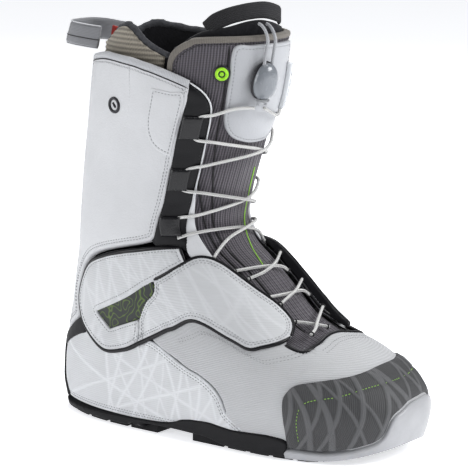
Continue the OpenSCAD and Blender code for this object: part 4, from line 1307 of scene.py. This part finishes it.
def inflate(piece, voxel=0.003, pressure=4.0, cap=0.003):
    """Pads a closed piece: remeshed, blown up as cloth, and smoothed."""
    scene = bpy.context.scene
    modifier = piece.modifiers.new("voxels", "REMESH")
    modifier.mode, modifier.voxel_size, modifier.use_smooth_shade = "VOXEL", voxel, True
    bake_modifiers(piece)
    count = len(piece.data.vertices)
    start = np.empty(count * 3)
    piece.data.vertices.foreach_get("co", start)
    cloth = piece.modifiers.new("padding", "CLOTH")
    cloth.settings.use_pressure = True
    cloth.settings.uniform_pressure_force = pressure
    cloth.settings.effector_weights.gravity = 0
    cloth.settings.quality = 4
    for frame_number in range(1, 21):
        scene.frame_set(frame_number)
    shape = piece.evaluated_get(bpy.context.evaluated_depsgraph_get())
    end = np.empty(count * 3)
    shape.data.vertices.foreach_get("co", end)
    piece.modifiers.remove(cloth)
    move = (end - start).reshape(-1, 3)
    far = np.linalg.norm(move, axis=1, keepdims=True)
    move *= np.minimum(1, cap / np.maximum(far, 1e-9))
    piece.data.vertices.foreach_set("co", (start.reshape(-1, 3) + move).ravel())
    piece.data.update()
    scene.frame_set(1)


def bake_modifiers(piece):
    shape = piece.evaluated_get(bpy.context.evaluated_depsgraph_get())
    mesh = bpy.data.meshes.new_from_object(shape)
    piece.modifiers.clear()
    piece.data = mesh
    mesh.polygons.foreach_set("use_smooth", [True] * len(mesh.polygons))


def liner():
    foot = lambda a: wall_section(20, 112, LINER_IN, LINER_OUT, 10)
    fit(sleeve("liner_foot_wall", 0, 360, foot, LOOKS["liner_fabric"], 4),
        ("liner_foot",), "boot")
    shaft = lambda a: wall_section(112, rim_height(a, LINER_TOP) + 1, LINER_IN, LINER_OUT, 12)
    fit(sleeve("liner_shaft", 80, 280, shaft, LOOKS["liner_fabric"], 4),
        ("liner_cuff", "flex_liner"))
    flap = lambda a: wall_section(112, rim_height(a, LINER_TONGUE_TOP) - 1, LINER_IN,
                                  LINER_OUT, 12)
    fit(sleeve("liner_tongue_body", -79, 79, flap, LOOKS["liner_fabric"], 4),
        ("liner_tongue",))
    knit = lambda a: wall_section(263, rim_height(a, LINER_TOP) + 1, LINER_OUT - 0.4,
                                  LINER_OUT + 1.8, 16)
    rows = lambda a, h: 0.5 * np.cos(2 * math.pi * h / 3.4)
    fit(sleeve("liner_rib_knit", 84, 276, knit, LOOKS["rib_knit"], 2.5, rows),
        ("liner_knit",))


def pads():
    """Stuffed edges of the liner: its collar and the top of its tongue."""
    def roll(height, tall, thick):
        return [(height + tall * math.sin(t), (LINER_IN + LINER_OUT) / 2 + thick * math.cos(t))
                for t in np.linspace(0, 2 * math.pi, 13)[:-1]]
    collar = lambda a: roll(rim_height(a, LINER_TOP) + 2.4, 4.0, 3.0)
    crest = lambda a: roll(rim_height(a, LINER_TONGUE_TOP) - 3, 3.0, 2.4)
    for name, a0, a1, section, nodes in (
            ("liner_collar_pad", 81, 279, collar, ("liner_collar",)),
            ("liner_tongue_pad", -79, 79, crest, ())):
        piece = sleeve(name, a0, a1, section, LOOKS["collar_fleece"], 3)
        inflate(piece)
        fit(piece, nodes)


liner()
pads()

# ---------------------------------------------------------------- pull loops

FRONT_LOOP = [(13.8, -33, 307), (18, -29.6, 308.8), (21.7, -25.8, 310), (25.2, -21, 311),
              (29, -12, 311.5), (30.7, -4, 310.6), (30.3, 7, 307.8), (28.5, 14, 305.4),
              (24, 18, 304)]
REAR_LOOP = [(-110, -18, 283.5), (-118, -18.5, 284), (-130, -18.5, 285), (-140, -15, 285.5),
             (-145, -8, 285.5), (-146, 0, 285.5), (-145, 8, 285.5), (-140, 15, 285.5),
             (-130, 18.5, 285), (-118, 18.5, 284), (-110, 18, 283.5)]
REAR_LEAN = math.radians(15)


def strap_frame(points, lean):
    """A strap's middle line, and its directions through and across the band."""
    p = smooth_route(points, 6)
    run = np.gradient(p, axis=0)
    run /= np.linalg.norm(run, axis=1, keepdims=True)
    out = np.cross(run, (0, 0, 1.0))
    out /= np.linalg.norm(out, axis=1, keepdims=True)
    up = math.cos(lean) * np.cross(out, run) + math.sin(lean) * out
    return p, np.cross(run, up), up


def webbing(name, points, width, thick, material, lean=0.0, across=9):
    """A woven band along points, its width standing up or leaning in, with round edges."""
    p, out, up = strap_frame(points, lean)
    t = np.linspace(-1, 1, across)
    front = [(thick / 2 * math.sqrt(max(0, 1 - abs(v) ** 6)), width / 2 * v) for v in t]
    section = front + [(-a, b) for a, b in front[-2:0:-1]]
    points = [p[i] + a * out[i] + b * up[i] for i in range(len(p)) for a, b in section]
    length = np.concatenate([[0], np.cumsum(np.linalg.norm(np.diff(p, axis=0), axis=1))])
    uv = [(b, length[i]) for i in range(len(p)) for a, b in section]
    return mesh_object(name, points, loft(len(p), len(section)), material, uv)


fit(webbing("front_strap", [(0, -36, 298), (7, -35.6, 303.5)] + FRONT_LOOP, 12, 1.9,
            LOOKS["webbing"]), ("front_pull_loop",), "front_loop")
fit(webbing("rear_strap", REAR_LOOP, 17, 2.0, LOOKS["grey_webbing"], REAR_LEAN),
    ("rear_pull_loop",), "rear_loop")
for name, high, look in (("rear_strap_seam", -2.2, "thread_black"),
                         ("rear_strap_hem", 8.2, "thread_white")):
    p, out, up = strap_frame(REAR_LOOP, REAR_LEAN)
    fit(tube(name, p - 1.0 * out + high * up, 0.4, LOOKS[look], 6),
        (), "rear_loop")
fit(webbing("rear_red_tab", [(-105, 4, 284), (-110, 4, 285.5), (-115, 3.5, 286.5)], 8, 1.2,
            LOOKS["red_tape"]), (), "cuff")
for thread, piece in sewn_objects(LOOKS):
    fit(piece)

# ---------------------------------------------------------------- carried-over CAD nodes

CAD_LOOKS = {"heel_outsole": "outsole_rubber", "forefoot_outsole": "outsole_rubber",
             "midsole": "midsole_foam", "shank": "shank_steel", "lasting_board": "board",
             "footbed": "footbed_foam"}
for node, look in CAD_LOOKS.items():
    for material_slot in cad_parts[node].material_slots:
        material_slot.material = LOOKS[look]
